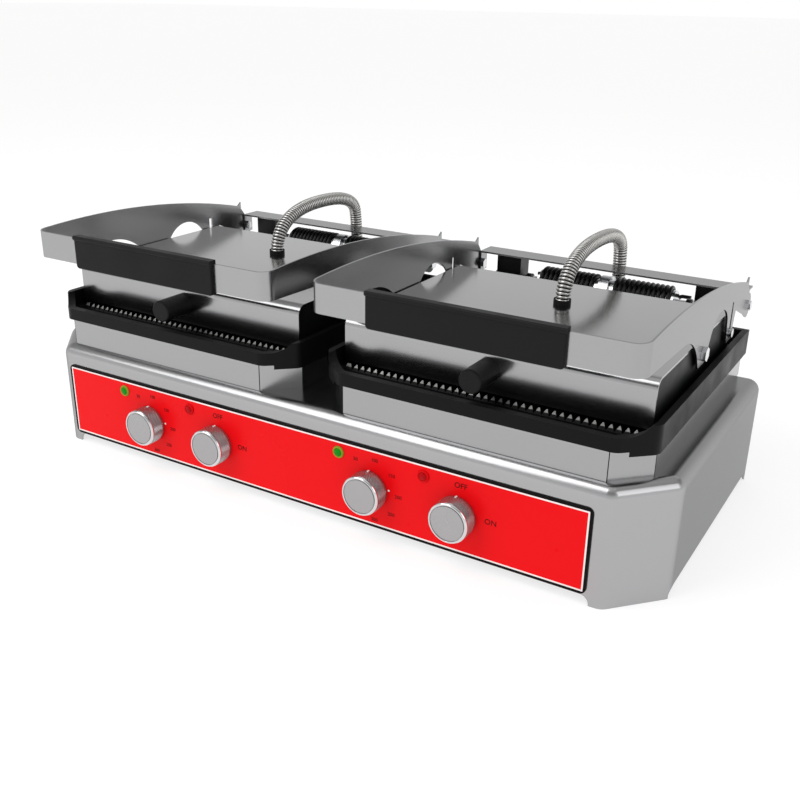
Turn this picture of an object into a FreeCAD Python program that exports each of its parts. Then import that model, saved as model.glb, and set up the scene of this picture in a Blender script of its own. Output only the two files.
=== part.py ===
"""Double sandwich maker: two contact grills with hinged, self-levelling lids on one folded steel base.

Millimetres.  +X is to the right, +Y to the back and +Z up.  Every piece is drawn with y = 0 on the
front wall of the base and z = 0 on the table, and is then moved so that the middle of the whole
machine, in plan, lies over the origin.
"""
import FreeCAD
import Part
import Sketcher
import math
import os
from types import SimpleNamespace

SIZES = {
    # Folded base shell
    "base_width": "775.2",
    "base_depth": "350",
    "base_height": "122",
    "base_sheet": "2",
    "base_chamfer_width": "47.6",
    "base_chamfer_depth": "51.8",
    "base_fold_radius": "13.5",
    "base_top_radius": "13",
    "front_cut_width": "656",
    "front_cut_height": "10",
    "front_foot_depth": "51",
    "rear_foot_depth": "12",
    "side_cut_height": "11.5",
    "foot_corner_radius": "9",
    "bottom_plate_height": "22",
    "bottom_plate_sheet": "2",
    "close_fit": "0.2",
    "overrun": "1",
    # Control panel, knobs and what stands behind them
    "panel_width": "657",
    "panel_offset": "3.5",
    "panel_bottom": "11.5",
    "panel_height": "87.4",
    "panel_sheet": "1.5",
    "panel_corner_radius": "6",
    "cluster_pitch": "298.3",
    "cluster_offset": "56.2",
    "knob_spacing": "98.6",
    "knob_height": "53",
    "knob_radius": "21.25",
    "knob_depth": "19",
    "knob_bevel": "2.6",
    "knob_rim": "1.6",
    "knob_dish": "0.7",
    "knob_gap": "0.6",
    "spindle_radius": "3",
    "spindle_depth": "18",
    "running_fit": "0.05",
    "neck_radius": "5",
    "neck_proud": "0.4",
    "thermostat_width": "42",
    "thermostat_depth": "34",
    "switch_radius": "19",
    "switch_depth": "38",
    "pilot_offset": "37.3",
    "pilot_rise": "31.5",
    "pilot_radius": "5",
    "pilot_lens_radius": "6.6",
    "pilot_lens_depth": "3",
    "pilot_depth": "22",
    # Terminal block and mains gland
    "terminal_width": "70",
    "terminal_depth": "28",
    "terminal_height": "24",
    "terminal_setback": "90",
    "gland_offset": "30",
    "gland_height": "52",
    "gland_bore": "5.5",
    "gland_radius": "9",
    "gland_flange_radius": "14",
    "gland_flange": "6",
    "gland_length": "20",
    # Pedestals
    "grill_pitch": "382.8",
    "pedestal_width": "340.4",
    "pedestal_front_width": "276.8",
    "pedestal_chamfer_depth": "33.3",
    "pedestal_setback": "10.5",
    "pedestal_rear_gap": "5",
    "pedestal_height": "30",
    "pedestal_sheet": "2",
    # Lower grill plates
    "plate_overhang": "4",
    "plate_front_overhang": "2.5",
    "plate_front_width": "288",
    "plate_chamfer_depth": "28",
    "plate_rear_gap": "2",
    "plate_wall": "6.7",
    "plate_lip": "8",
    "plate_skirt": "4.6",
    "plate_corner_radius": "14",
    "plate_cove_radius": "5",
    "skirt_gap_width": "306",
    "plate_floor": "1.4",
    "plate_drop": "7",
    "plate_rise": "23",
    "lip_rise": "13.5",
    "lip_flat_width": "300",
    "lip_curve_radius": "20",
    "lip_curve_width": "17",
    "rib_pitch": "7.8",
    "rib_count": "41",
    "rib_rise": "5.4",
    "rib_crest": "1.2",
    "rib_front_gap": "30.5",
    "rib_rear_gap": "8",
    "rib_slope": "4.5",
    # Tubular heaters
    "heater_radius": "4",
    "heater_bend_radius": "26",
    "heater_front": "95",
    "heater_run": "150",
    # Hinge: shaft, brackets, knuckles, barrel and springs
    "hinge_back": "18",
    "hinge_height": "184",
    "shaft_radius": "6",
    "shaft_length": "292",
    "bracket_spacing": "200",
    "bracket_sheet": "6",
    "bracket_flange": "4",
    "bracket_foot_width": "36",
    "bracket_foot_height": "52",
    "bracket_foot_bottom": "46",
    "bracket_head_radius": "8.5",
    "bracket_web_depth": "10",
    "bracket_bolt_radius": "3",
    "bracket_bolt_head": "5.5",
    "bracket_bolt_cap": "4",
    "bracket_bolt_spacing": "30",
    "knuckle_inner": "108",
    "knuckle_width": "32",
    "knuckle_radius": "12",
    "barrel_radius": "15.9",
    "barrel_length": "168",
    "collar_radius": "20.4",
    "collar_width": "12",
    "spring_wire_radius": "2.2",
    "spring_radius": "18.4",
    "spring_turns": "12",
    "spring_pitch": "5.8",
    "spring_start": "12.5",
    "spring_leg_bend": "5",
    "seat_gap": "0.3",
    # Lid frame
    "frame_width": "332",
    "frame_sheet": "2",
    "frame_corner_radius": "14",
    "frame_front": "-6.6",
    "bar_bottom": "227.5",
    "bar_height": "29.5",
    "frame_top_radius": "1092",
    "frame_back": "343",
    "frame_back_height": "228.6",
    "tab_width": "6",
    "tab_rise": "4.5",
    "lobe_radius": "14",
    "strip_bolt_back": "358",
    "strip_bolt_height": "199",
    "strip_bolt_radius": "3",
    "strip_bolt_head": "6",
    "strip_bolt_cap": "4",
    "pivot_back": "178",
    "pivot_height": "196",
    "pivot_radius": "4",
    "pivot_head": "7.5",
    "pivot_cap": "4.5",
    "pivot_tab_radius": "12",
    "front_arch_reach": "70",
    "front_arch_radius": "68",
    "front_arch_drop": "3",
    "middle_arch_front": "204",
    "middle_arch_back": "267",
    "middle_arch_drop": "20.6",
    "middle_arch_radius": "39",
    "stop_tab_back": "284",
    "stop_tab_half": "9",
    "stop_tab_reach": "9.5",
    "rear_arch_front": "301",
    "rear_arch_drop": "20.1",
    "slot_half": "2.7",
    "slot_above": "33",
    "slot_below": "4",
    "stop_screw_height": "188",
    "stop_screw_radius": "2.2",
    "stop_screw_head": "4.6",
    "stop_screw_cap": "3.2",
    # Rear strip and grip
    "strip_front": "354",
    "strip_depth": "30",
    "strip_top": "215",
    "strip_sheet": "2",
    "strip_flange_drop": "25",
    "strip_flange_depth": "16",
    "grip_width": "197.5",
    "grip_bottom": "223.8",
    "grip_height": "36.8",
    "grip_front_wall": "4",
    "grip_rear_wall": "3",
    "grip_round": "1.5",
    "grip_corner_radius": "4",
    "grip_bead_height": "5",
    "grip_bead_radius": "2.8",
    # Self-levelling upper grill
    "cover_width": "324",
    "cover_sheet": "2",
    "cover_front": "50",
    "cover_depth": "253",
    "cover_bottom": "162",
    "cover_top": "209",
    "cover_front_radius": "11",
    "cover_rear_radius": "8",
    "cover_rear_bottom": "168",
    "casting_width": "323",
    "casting_bottom": "161.6",
    "casting_cheek": "8",
    "casting_wall": "6.8",
    "casting_floor": "13.5",
    "upper_rib_rise": "4",
    "upper_rib_count": "40",
    "handle_radius": "12",
    "handle_length": "37",
    "handle_height": "184.5",
    "handle_round": "2",
    # Conduits
    "conduit_offset": "4",
    "conduit_front": "217",
    "conduit_crown": "263",
    "conduit_back": "398",
    "conduit_bend_radius": "37",
    "conduit_foot_height": "75",
    "conduit_foot_radius": "25",
    "conduit_crest_radius": "8.3",
    "conduit_root_radius": "7.3",
    "conduit_bore_radius": "6",
    "conduit_rib_pitch": "3.5",
    "collar_ring_radius": "9.4",
    "collar_ring_height": "5",
    "foot_ring_radius": "12.5",
    "foot_ring_depth": "6",
    "wire_hole_radius": "6",
}
SIDES = (("left", -1), ("right", 1))
QUARTERS_PER_TURN = 4
POINTS_PER_TURN = 48
HALF = 0.5
UP = FreeCAD.Vector(0, 0, 1)
ACROSS = FreeCAD.Vector(1, 0, 0)
ALONG = FreeCAD.Vector(0, 1, 0)

doc = FreeCAD.newDocument("sandwich_maker")
sheet = doc.addObject("Spreadsheet::Sheet", "Sizes")
for row, (alias, number) in enumerate(SIZES.items(), 1):
    sheet.set("A%d" % row, alias)
    sheet.set("B%d" % row, number)
    sheet.setAlias("B%d" % row, alias)
doc.recompute()


class Size:
    """A length together with the sheet expression that drives it."""

    def __init__(self, value, text):
        self.value = value
        self.text = text

    def __add__(self, other):
        return Size(self.value + other.value, "(%s + %s)" % (self.text, other.text))

    def __sub__(self, other):
        return Size(self.value - other.value, "(%s - %s)" % (self.text, other.text))

    def __neg__(self):
        return Size(-self.value, "(-1 * %s)" % self.text)

    def __mul__(self, factor):
        return Size(self.value * factor, "(%s * %r)" % (self.text, factor))

    def times(self, count):
        return Size(self.value * count.value, "(%s * %s)" % (self.text, count.text))


s = SimpleNamespace(**{alias: Size(float(sheet.get(alias)), "Sizes." + alias) for alias in SIZES})
ZERO = Size(0.0, "0")
NODES = []

# Places that several pieces share
base_half = s.base_width * HALF
fold_half = base_half - s.base_chamfer_width
grill_half_pitch = s.grill_pitch * HALF
pedestal_half = s.pedestal_width * HALF
pedestal_fold = s.pedestal_front_width * HALF
pedestal_back = s.base_depth - s.pedestal_rear_gap
pedestal_top = s.base_height + s.pedestal_height
plate_half = pedestal_half + s.plate_overhang
plate_fold = s.plate_front_width * HALF
plate_front = s.pedestal_setback - s.plate_front_overhang
plate_back = s.base_depth - s.plate_rear_gap
floor_top = pedestal_top + s.plate_floor
plate_under = pedestal_top - s.plate_drop
wall_top = pedestal_top + s.plate_rise
rib_half = s.rib_pitch.times(s.rib_count) * HALF
rib_top = floor_top + s.rib_rise
hinge_y = s.base_depth + s.hinge_back
frame_half = s.frame_width * HALF
bar_top = s.bar_bottom + s.bar_height
strip_half = frame_half - s.frame_sheet - s.close_fit
strip_under = s.strip_top - s.strip_sheet
cover_half = s.cover_width * HALF
cover_back = s.cover_front + s.cover_depth
casting_half = s.casting_width * HALF
casting_front = s.cover_front + s.cover_sheet + s.close_fit
casting_back = cover_back - s.cover_sheet - s.close_fit
casting_top = s.cover_top - s.cover_sheet - s.close_fit
knob_back = -(s.panel_sheet + s.knob_gap)
knob_face = knob_back - s.knob_depth
conduit_rear = s.conduit_back + s.conduit_crest_radius
middle = (conduit_rear + knob_face) * HALF


def thermostat_x(side):
    """Centre of a grill's thermostat knob."""
    return s.cluster_pitch * (side * HALF) - s.cluster_offset


def switch_x(side):
    """Centre of a grill's switch knob."""
    return thermostat_x(side) + s.knob_spacing


def grill_x(side):
    """Centre line of a grill."""
    return grill_half_pitch * side


def vector(across, along, up):
    """A point from three sizes."""
    return FreeCAD.Vector(across.value, along.value, up.value)


def keep(shape_object, label, across=ZERO):
    """Name a finished piece and move it to its place about the origin."""
    shape_object.Label = label
    shape_object.setExpression("Placement.Base.x", across.text)
    shape_object.setExpression("Placement.Base.y", (-middle).text)
    NODES.append(shape_object)
    return shape_object


def new_body(name):
    """An empty PartDesign body."""
    return doc.addObject("PartDesign::Body", name)


def new_sketch(body, role, height=ZERO):
    """A sketch on one of the body's own origin planes, moved along that plane's normal."""
    flat = body.newObject("Sketcher::SketchObject", body.Name + "_sketch")
    plane = [feature for feature in body.Origin.OriginFeatures if feature.Role == role][0]
    flat.AttachmentSupport = [(plane, "")]
    flat.MapMode = "FlatFace"
    flat.setExpression("AttachmentOffset.Base.z", height.text)
    return flat


def tie(flat, kind, geometry, position, size):
    """Hold a sketch point at a signed distance from the origin."""
    if size is ZERO:
        axis = -2 if kind == "DistanceX" else -1
        flat.addConstraint(Sketcher.Constraint("PointOnObject", geometry, position, axis))
        return
    number = flat.addConstraint(Sketcher.Constraint(kind, -1, 1, geometry, position, size.value))
    flat.setExpression("Constraints[%d]" % number, size.text)


def add_edge(flat, start, end, bend):
    """A line, or an arc of under a half circle, turning left for a positive bend."""
    if bend is None:
        return flat.addGeometry(Part.LineSegment(start, end), False), 1, 2
    radius = abs(bend.value)
    chord = end - start
    rise = math.sqrt(max(radius ** 2 - (chord.Length * HALF) ** 2, 0))
    left = FreeCAD.Vector(-chord.y, chord.x, 0).normalize()
    centre = (start + end) * HALF + left * math.copysign(rise, bend.value)
    begin, finish = (start, end) if bend.value > 0 else (end, start)
    turn = [math.atan2(point.y - centre.y, point.x - centre.x) for point in (begin, finish)]
    arc = Part.ArcOfCircle(Part.Circle(centre, UP, radius), turn[0], turn[1])
    edge = flat.addGeometry(arc, False)
    number = flat.addConstraint(Sketcher.Constraint("Radius", edge, radius))
    flat.setExpression("Constraints[%d]" % number, (bend if bend.value > 0 else -bend).text)
    return (edge, 1, 2) if bend.value > 0 else (edge, 2, 1)


def draw(flat, corners):
    """Draw a closed outline; a corner's third entry is the bend of the arc that leads on from it."""
    points = [FreeCAD.Vector(corner[0].value, corner[1].value, 0) for corner in corners]
    bends = [corner[2] if len(corner) > 2 else None for corner in corners]
    ends = points[1:] + points[:1]
    edges = [add_edge(flat, *edge) for edge in zip(points, ends, bends)]
    for (edge, first, last), (after, after_first, _) in zip(edges, edges[1:] + edges[:1]):
        flat.addConstraint(Sketcher.Constraint("Coincident", edge, last, after, after_first))
    for (edge, first, _), corner in zip(edges, corners):
        tie(flat, "DistanceX", edge, first, corner[0])
        tie(flat, "DistanceY", edge, first, corner[1])


def ring(flat, across, up, radius):
    """Draw a circle."""
    circle = Part.Circle(FreeCAD.Vector(across.value, up.value, 0), UP, radius.value)
    edge = flat.addGeometry(circle, False)
    tie(flat, "DistanceX", edge, 3, across)
    tie(flat, "DistanceY", edge, 3, up)
    number = flat.addConstraint(Sketcher.Constraint("Radius", edge, radius.value))
    flat.setExpression("Constraints[%d]" % number, radius.text)


def feature(body, kind, flat, length, backwards=False):
    """A Pad or a Pocket of a sketch."""
    step = body.newObject("PartDesign::" + kind, body.Name + "_" + kind.lower())
    step.Profile = flat
    step.setExpression("Length", length.text)
    step.Reversed = backwards
    return step


def pad_up(body, bottom, height, corners):
    """Raise a plan outline from a level."""
    flat = new_sketch(body, "XY_Plane", bottom)
    draw(flat, corners)
    return feature(body, "Pad", flat, height)


def pad_across(body, start, width, corners, holes=()):
    """Draw a side outline at x = start and run it to the right."""
    flat = new_sketch(body, "YZ_Plane", start)
    draw(flat, corners)
    for hole in holes:
        ring(flat, *hole)
    return feature(body, "Pad", flat, width)


def pad_back(body, front, depth, corners, holes=()):
    """Draw a front outline at y = front and run it to the back."""
    flat = new_sketch(body, "XZ_Plane", -front)
    draw(flat, corners)
    for hole in holes:
        ring(flat, *hole)
    return feature(body, "Pad", flat, depth, True)


def cut_down(body, top, depth, corners):
    """Cut a plan outline downwards from a level."""
    flat = new_sketch(body, "XY_Plane", top)
    draw(flat, corners)
    return feature(body, "Pocket", flat, depth)


def cut_across(body, start, width, corners=(), holes=()):
    """Cut a side outline, or round holes, to the right from x = start."""
    flat = new_sketch(body, "YZ_Plane", start)
    if corners:
        draw(flat, corners)
    for hole in holes:
        ring(flat, *hole)
    return feature(body, "Pocket", flat, width, True)


def cut_back(body, front, depth, corners=(), holes=()):
    """Cut a front outline, or round holes, to the back from y = front."""
    flat = new_sketch(body, "XZ_Plane", -front)
    if corners:
        draw(flat, corners)
    for hole in holes:
        ring(flat, *hole)
    return feature(body, "Pocket", flat, depth)


def edge_names(shape, wanted):
    """Names of the edges whose middle point passes a test."""
    names = []
    for number, edge in enumerate(shape.Edges, 1):
        point = edge.valueAt(edge.getParameterByLength(edge.Length * HALF))
        if wanted(edge, point):
            names.append("Edge%d" % number)
    return names


def near(value, size):
    """Whether a coordinate lies on a size, within a hair of it."""
    return abs(value - size.value) < s.running_fit.value


def fillet(body, base, wanted, radius):
    """Round the edges of the last feature that pass a test."""
    doc.recompute()
    step = body.newObject("PartDesign::Fillet", body.Name + "_fillet")
    step.Base = (base, edge_names(base.Shape, wanted))
    step.setExpression("Radius", radius.text)
    return step


def grooves(body, front, depth, tip, root, crest, pitch, count):
    """Cut a row of V grooves from front to back, leaving ribs with flat crests."""
    first = -(pitch.times(count) * HALF) + pitch
    half = (pitch - crest) * HALF
    clear = s.overrun if root.value < tip.value else -s.overrun
    flat = new_sketch(body, "XZ_Plane", -front)
    draw(flat, [
        (first - half, tip + clear),
        (first - half, tip),
        (first, root),
        (first + half, tip),
        (first + half, tip + clear),
    ])
    groove = feature(body, "Pocket", flat, depth)
    doc.recompute()
    row_of_grooves = body.newObject("PartDesign::LinearPattern", body.Name + "_ribs")
    row_of_grooves.Originals = [groove]
    row_of_grooves.Direction = (flat, ["H_Axis"])
    row_of_grooves.setExpression("Length", "%s * (%s - 2)" % (pitch.text, count.text))
    row_of_grooves.setExpression("Occurrences", "%s - 1" % count.text)
    body.Tip = row_of_grooves
    return row_of_grooves


def cylinder(name, radius, length, direction, across, along, up):
    """A cylinder that starts at a point and runs along a direction."""
    rod = doc.addObject("Part::Cylinder", name)
    rod.setExpression("Radius", radius.text)
    rod.setExpression("Height", length.text)
    turn = FreeCAD.Rotation(UP, direction)
    rod.Placement = FreeCAD.Placement(vector(across, along, up), turn)
    place(rod, across, along, up)
    return rod


def block(name, across, along, up, width, depth, height):
    """A box with its lowest corner at a point."""
    box = doc.addObject("Part::Box", name)
    box.setExpression("Length", width.text)
    box.setExpression("Width", depth.text)
    box.setExpression("Height", height.text)
    place(box, across, along, up)
    return box


def hexagon(name, radius, length, direction, across, along, up):
    """A six-sided nut or bolt head that starts at a point and runs along a direction."""
    prism = doc.addObject("Part::Prism", name)
    prism.Polygon = 6
    prism.setExpression("Circumradius", radius.text)
    prism.setExpression("Height", length.text)
    turn = FreeCAD.Rotation(UP, direction)
    prism.Placement = FreeCAD.Placement(vector(across, along, up), turn)
    place(prism, across, along, up)
    return prism


def place(item, across, along, up):
    """Bind a primitive's position to the sheet."""
    item.setExpression("Placement.Base.x", across.text)
    item.setExpression("Placement.Base.y", along.text)
    item.setExpression("Placement.Base.z", up.text)


def fuse(name, items):
    """Join primitives into one solid."""
    joined = doc.addObject("Part::MultiFuse", name)
    joined.Shapes = items
    joined.Refine = True
    return joined


def cut(name, base, tool):
    """Take one shape out of another."""
    rest = doc.addObject("Part::Cut", name)
    rest.Base = base
    rest.Tool = tool
    return rest


def mirrored(item):
    """The same piece on the other side of its grill's centre line."""
    twin = doc.addObject("Part::Mirroring", item.Name + "_twin")
    twin.Source = item
    twin.Normal = ACROSS
    return twin


def group(name, items):
    """Separate solids that share one node."""
    bundle = doc.addObject("Part::Compound", name)
    bundle.Links = items
    return bundle


def rounded_box(low_x, low_z, high_x, high_z, radius):
    """Corners of a rectangle with four round corners."""
    return [
        (low_x + radius, low_z),
        (high_x - radius, low_z, radius),
        (high_x, low_z + radius),
        (high_x, high_z - radius, radius),
        (high_x - radius, high_z),
        (low_x + radius, high_z, radius),
        (low_x, high_z - radius),
        (low_x, low_z + radius, radius),
    ]


def chamfered_plan(half, fold, front, chamfer_back, back):
    """Plan outline with the two front corners cut off."""
    return [
        (-fold, front),
        (fold, front),
        (half, chamfer_back),
        (half, back),
        (-half, back),
        (-half, chamfer_back),
    ]


# The base


def control_holes(radius, pilot_radius):
    """Round holes for the four spindles and the four pilot lights."""
    holes = []
    for _, side in SIDES:
        for knob_x in (thermostat_x(side), switch_x(side)):
            holes.append((knob_x, s.knob_height, radius))
            holes.append((knob_x - s.pilot_offset, s.knob_height + s.pilot_rise, pilot_radius))
    return holes


def foot_cut(low, high, height):
    """Outline of the space between two feet, with round upper corners."""
    radius = s.foot_corner_radius
    return [
        (low, -s.overrun),
        (high, -s.overrun),
        (high, height - radius, radius),
        (high - radius, height),
        (low + radius, height, radius),
        (low, height - radius),
    ]


def make_base_shell():
    """Folded steel shell, open below, standing on four corner feet."""
    body = new_body("base_shell")
    plan = chamfered_plan(base_half, fold_half, ZERO, s.base_chamfer_depth, s.base_depth)
    step = pad_up(body, ZERO, s.base_height, plan)
    step = fillet(body, step, lambda edge, point: near(point.z, s.base_height * HALF), s.base_fold_radius)
    step = fillet(body, step, lambda edge, point: near(point.z, s.base_height), s.base_top_radius)
    doc.recompute()
    bottom = [number for number, face in enumerate(step.Shape.Faces, 1) if near(face.BoundBox.ZMax, ZERO)]
    shell = body.newObject("PartDesign::Thickness", "base_shell_wall")
    shell.Base = (step, ["Face%d" % bottom[0]])
    shell.setExpression("Value", s.base_sheet.text)
    shell.Reversed = True
    past_depth = s.base_depth + s.overrun * 2
    half_cut = s.front_cut_width * HALF
    cut_back(body, -s.overrun, past_depth, foot_cut(-half_cut, half_cut, s.front_cut_height))
    side_cut = foot_cut(s.front_foot_depth, s.base_depth - s.rear_foot_depth, s.side_cut_height)
    cut_across(body, -(base_half + s.overrun), s.base_width + s.overrun * 2, side_cut)
    neck_hole = s.neck_radius + s.running_fit
    pilot_hole = s.pilot_radius + s.running_fit
    wall = s.base_sheet + s.overrun * 2
    cut_back(body, -s.overrun, wall, holes=control_holes(neck_hole, pilot_hole))
    rear_holes = [(-s.gland_offset, s.gland_height, s.gland_radius + s.running_fit)]
    for _, side in SIDES:
        rear_holes.append((grill_x(side) + s.conduit_offset, s.conduit_foot_height, s.wire_hole_radius))
    cut_back(body, s.base_depth - s.base_sheet - s.overrun, wall, holes=rear_holes)
    keep(body, "base_shell")


def make_bottom_plate():
    """Flat plate that closes the base from below, above the feet."""
    body = new_body("base_bottom_plate")
    inset = s.base_sheet + s.close_fit
    plan = chamfered_plan(
        base_half - inset,
        fold_half - inset,
        inset + s.overrun,
        s.base_chamfer_depth + inset,
        s.base_depth - inset,
    )
    step = pad_up(body, s.bottom_plate_height, s.bottom_plate_sheet, plan)
    level = s.bottom_plate_height + s.bottom_plate_sheet * HALF
    fillet(body, step, lambda edge, point: near(point.z, level), s.base_fold_radius)
    keep(body, "base_bottom_plate")


def make_control_panel():
    """Printed plate on the front wall."""
    body = new_body("control_panel")
    low = -(s.panel_width * HALF) - s.panel_offset
    top = s.panel_bottom + s.panel_height
    outline = rounded_box(low, s.panel_bottom, low + s.panel_width, top, s.panel_corner_radius)
    neck_hole = s.neck_radius + s.running_fit
    pilot_hole = s.pilot_radius + s.running_fit
    pad_back(body, -s.panel_sheet, s.panel_sheet, outline, control_holes(neck_hole, pilot_hole))
    keep(body, "control_panel")


def make_pilot_lights(label, place_of):
    """One lens with its lamp body for each grill."""
    lights = []
    for name, side in SIDES:
        across = place_of(side) - s.pilot_offset
        up = s.knob_height + s.pilot_rise
        seat = -s.panel_sheet
        front = seat - s.pilot_lens_depth
        size = (s.pilot_lens_radius, s.pilot_lens_depth)
        lens = cylinder(label + name + "_lens", *size, ALONG, across, front, up)
        lamp = cylinder(label + name + "_lamp", s.pilot_radius, s.pilot_depth, ALONG, across, seat, up)
        lights.append(fuse(label + name, [lens, lamp]))
    keep(group(label, lights), label)


def make_control(label, across, housing):
    """A thermostat or switch behind the front wall, with the neck that its spindle turns in."""
    neck_front = -(s.panel_sheet + s.neck_proud)
    neck_length = s.base_sheet - neck_front
    neck = cylinder(label + "_neck", s.neck_radius, neck_length, ALONG, across, neck_front, s.knob_height)
    bore_radius = s.spindle_radius + s.running_fit
    bore_front = neck_front - s.overrun
    bore_length = s.spindle_depth + s.running_fit - bore_front
    bore = cylinder(label + "_bore", bore_radius, bore_length, ALONG, across, bore_front, s.knob_height)
    keep(cut(label, fuse(label + "_solid", [housing, neck]), bore), label)


def make_controls(name, side):
    """The thermostat and the power switch of one grill."""
    half = s.thermostat_width * HALF
    across = thermostat_x(side)
    label = name + "_thermostat"
    low_x = across - half
    low_z = s.knob_height - half
    size = (s.thermostat_width, s.thermostat_depth, s.thermostat_width)
    make_control(label, across, block(label + "_case", low_x, s.base_sheet, low_z, *size))
    across = switch_x(side)
    label = name + "_power_switch"
    size = (s.switch_radius, s.switch_depth)
    drum = cylinder(label + "_case", *size, ALONG, across, s.base_sheet, s.knob_height)
    make_control(label, across, drum)


def make_knob(label, across):
    """Turned metal knob with a dished face, pressed on the spindle that turns with it."""
    body = new_body(label)
    flat = new_sketch(body, "XY_Plane")
    rim = s.knob_radius - s.knob_bevel
    dish = rim - s.knob_rim
    draw(flat, [
        (ZERO, s.spindle_depth),
        (ZERO, knob_face + s.knob_dish),
        (dish - s.knob_dish, knob_face + s.knob_dish),
        (dish, knob_face),
        (rim, knob_face),
        (s.knob_radius, knob_face + s.knob_bevel),
        (s.knob_radius, knob_back),
        (s.spindle_radius, knob_back),
        (s.spindle_radius, s.spindle_depth),
    ])
    turned = body.newObject("PartDesign::Revolution", label + "_turned")
    turned.Profile = flat
    turned.ReferenceAxis = (flat, ["V_Axis"])
    keep(body, label, across)
    body.setExpression("Placement.Base.z", s.knob_height.text)


def make_inlet():
    """Terminal block on the bottom plate and the mains gland in the rear wall."""
    up = s.bottom_plate_height + s.bottom_plate_sheet
    low_x = -s.gland_offset - s.terminal_width * HALF
    low_y = s.base_depth - s.terminal_setback
    size = (s.terminal_width, s.terminal_depth, s.terminal_height)
    strip = block("terminal_strip", low_x, low_y, up, *size)
    keep(group("terminal_block", [strip]), "terminal_block")
    across = -s.gland_offset
    inner = s.base_depth - s.base_sheet - s.gland_flange
    sleeve_length = s.gland_length + s.gland_flange + s.base_sheet
    sleeve = cylinder("gland_sleeve", s.gland_radius, sleeve_length, ALONG, across, inner, s.gland_height)
    size = (s.gland_flange_radius, s.gland_flange)
    lock_nut = hexagon("gland_nut", *size, ALONG, across, inner, s.gland_height)
    flange = hexagon("gland_flange", *size, ALONG, across, s.base_depth, s.gland_height)
    size = (s.gland_bore, sleeve_length + s.overrun * 2)
    bore = cylinder("gland_bore", *size, ALONG, across, inner - s.overrun, s.gland_height)
    keep(cut("cable_gland", fuse("gland_solid", [sleeve, lock_nut, flange]), bore), "cable_gland")


# The fixed half of a grill


def make_pedestal(name, side):
    """Steel skirt with cut front corners that carries the lower plate."""
    label = name + "_pedestal"
    body = new_body(label)
    chamfer_back = s.pedestal_setback + s.pedestal_chamfer_depth
    plan = chamfered_plan(pedestal_half, pedestal_fold, s.pedestal_setback, chamfer_back, pedestal_back)
    pad_up(body, s.base_height, s.pedestal_height, plan)
    wall = s.pedestal_sheet
    hollow = chamfered_plan(
        pedestal_half - wall,
        pedestal_fold - wall * HALF,
        s.pedestal_setback + wall,
        chamfer_back + wall * HALF,
        pedestal_back - wall,
    )
    cut_down(body, pedestal_top + s.overrun, s.pedestal_height + s.overrun * 2, hollow)
    keep(body, label, grill_x(side))


def make_lower_plate(name, side):
    """Cast-iron tray let into the pedestal: ribbed floor, grease trough, side walls and a low front lip."""
    label = name + "_lower_plate"
    body = new_body(label)
    chamfer_back = plate_front + s.plate_chamfer_depth
    skirt_bottom = pedestal_top - s.plate_skirt
    plan = chamfered_plan(plate_half, plate_fold, plate_front, chamfer_back, plate_back)
    step = pad_up(body, skirt_bottom, s.plate_skirt + s.plate_rise, plan)
    middle_height = skirt_bottom + (s.plate_skirt + s.plate_rise) * HALF

    def corner(edge, point):
        return near(point.z, middle_height) and point.y < chamfer_back.value + s.overrun.value

    fillet(body, step, corner, s.plate_corner_radius)
    seat = s.close_fit
    gap_half = s.skirt_gap_width * HALF
    pedestal_chamfer_back = s.pedestal_setback + s.pedestal_chamfer_depth
    cut_down(body, pedestal_top, s.plate_skirt + s.overrun, [
        (-gap_half, plate_front - s.overrun),
        (gap_half, plate_front - s.overrun),
        (gap_half, plate_front + s.plate_lip),
        (pedestal_half + seat, pedestal_chamfer_back - seat),
        (pedestal_half + seat, pedestal_back + seat),
        (-pedestal_half - seat, pedestal_back + seat),
        (-pedestal_half - seat, pedestal_chamfer_back - seat),
        (-gap_half, plate_front + s.plate_lip),
    ])
    inset = s.pedestal_sheet + s.close_fit
    pad_up(body, plate_under, s.plate_drop, chamfered_plan(
        pedestal_half - inset,
        pedestal_fold - inset * HALF,
        s.pedestal_setback + inset,
        pedestal_chamfer_back + inset * HALF,
        pedestal_back - inset,
    ))
    inner = chamfered_plan(
        plate_half - s.plate_wall,
        plate_fold - s.plate_lip * HALF,
        plate_front + s.plate_lip,
        chamfer_back + s.plate_lip * HALF,
        plate_back - s.plate_wall,
    )
    step = cut_down(body, wall_top + s.overrun, wall_top + s.overrun - floor_top, inner)
    inner_half = plate_half - s.plate_wall

    def trough(edge, point):
        within = abs(point.x) < inner_half.value + s.overrun.value
        return near(point.z, floor_top) and within and point.y > plate_front.value + s.overrun.value

    fillet(body, step, trough, s.plate_cove_radius)
    lip_top = pedestal_top + s.lip_rise
    flat_half = s.lip_flat_width * HALF
    curve_half = flat_half + s.lip_curve_width
    cut_back(body, plate_front - s.overrun, s.plate_chamfer_depth + s.plate_lip, [
        (-flat_half, lip_top),
        (flat_half, lip_top, s.lip_curve_radius),
        (curve_half, wall_top),
        (curve_half, wall_top + s.overrun),
        (-curve_half, wall_top + s.overrun),
        (-curve_half, wall_top, s.lip_curve_radius),
    ])
    rib_front = plate_front + s.plate_lip + s.rib_front_gap
    rib_back = plate_back - s.plate_wall - s.rib_rear_gap
    pad_across(body, -rib_half, rib_half * 2, [
        (rib_front, floor_top),
        (rib_back, floor_top),
        (rib_back - s.rib_slope, rib_top),
        (rib_front + s.rib_slope, rib_top),
    ])
    groove_front = rib_front - s.overrun
    groove_depth = rib_back - rib_front + s.overrun * 2
    grooves(body, groove_front, groove_depth, rib_top, floor_top, s.rib_crest, s.rib_pitch, s.rib_count)
    keep(body, label, grill_x(side))


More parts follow.
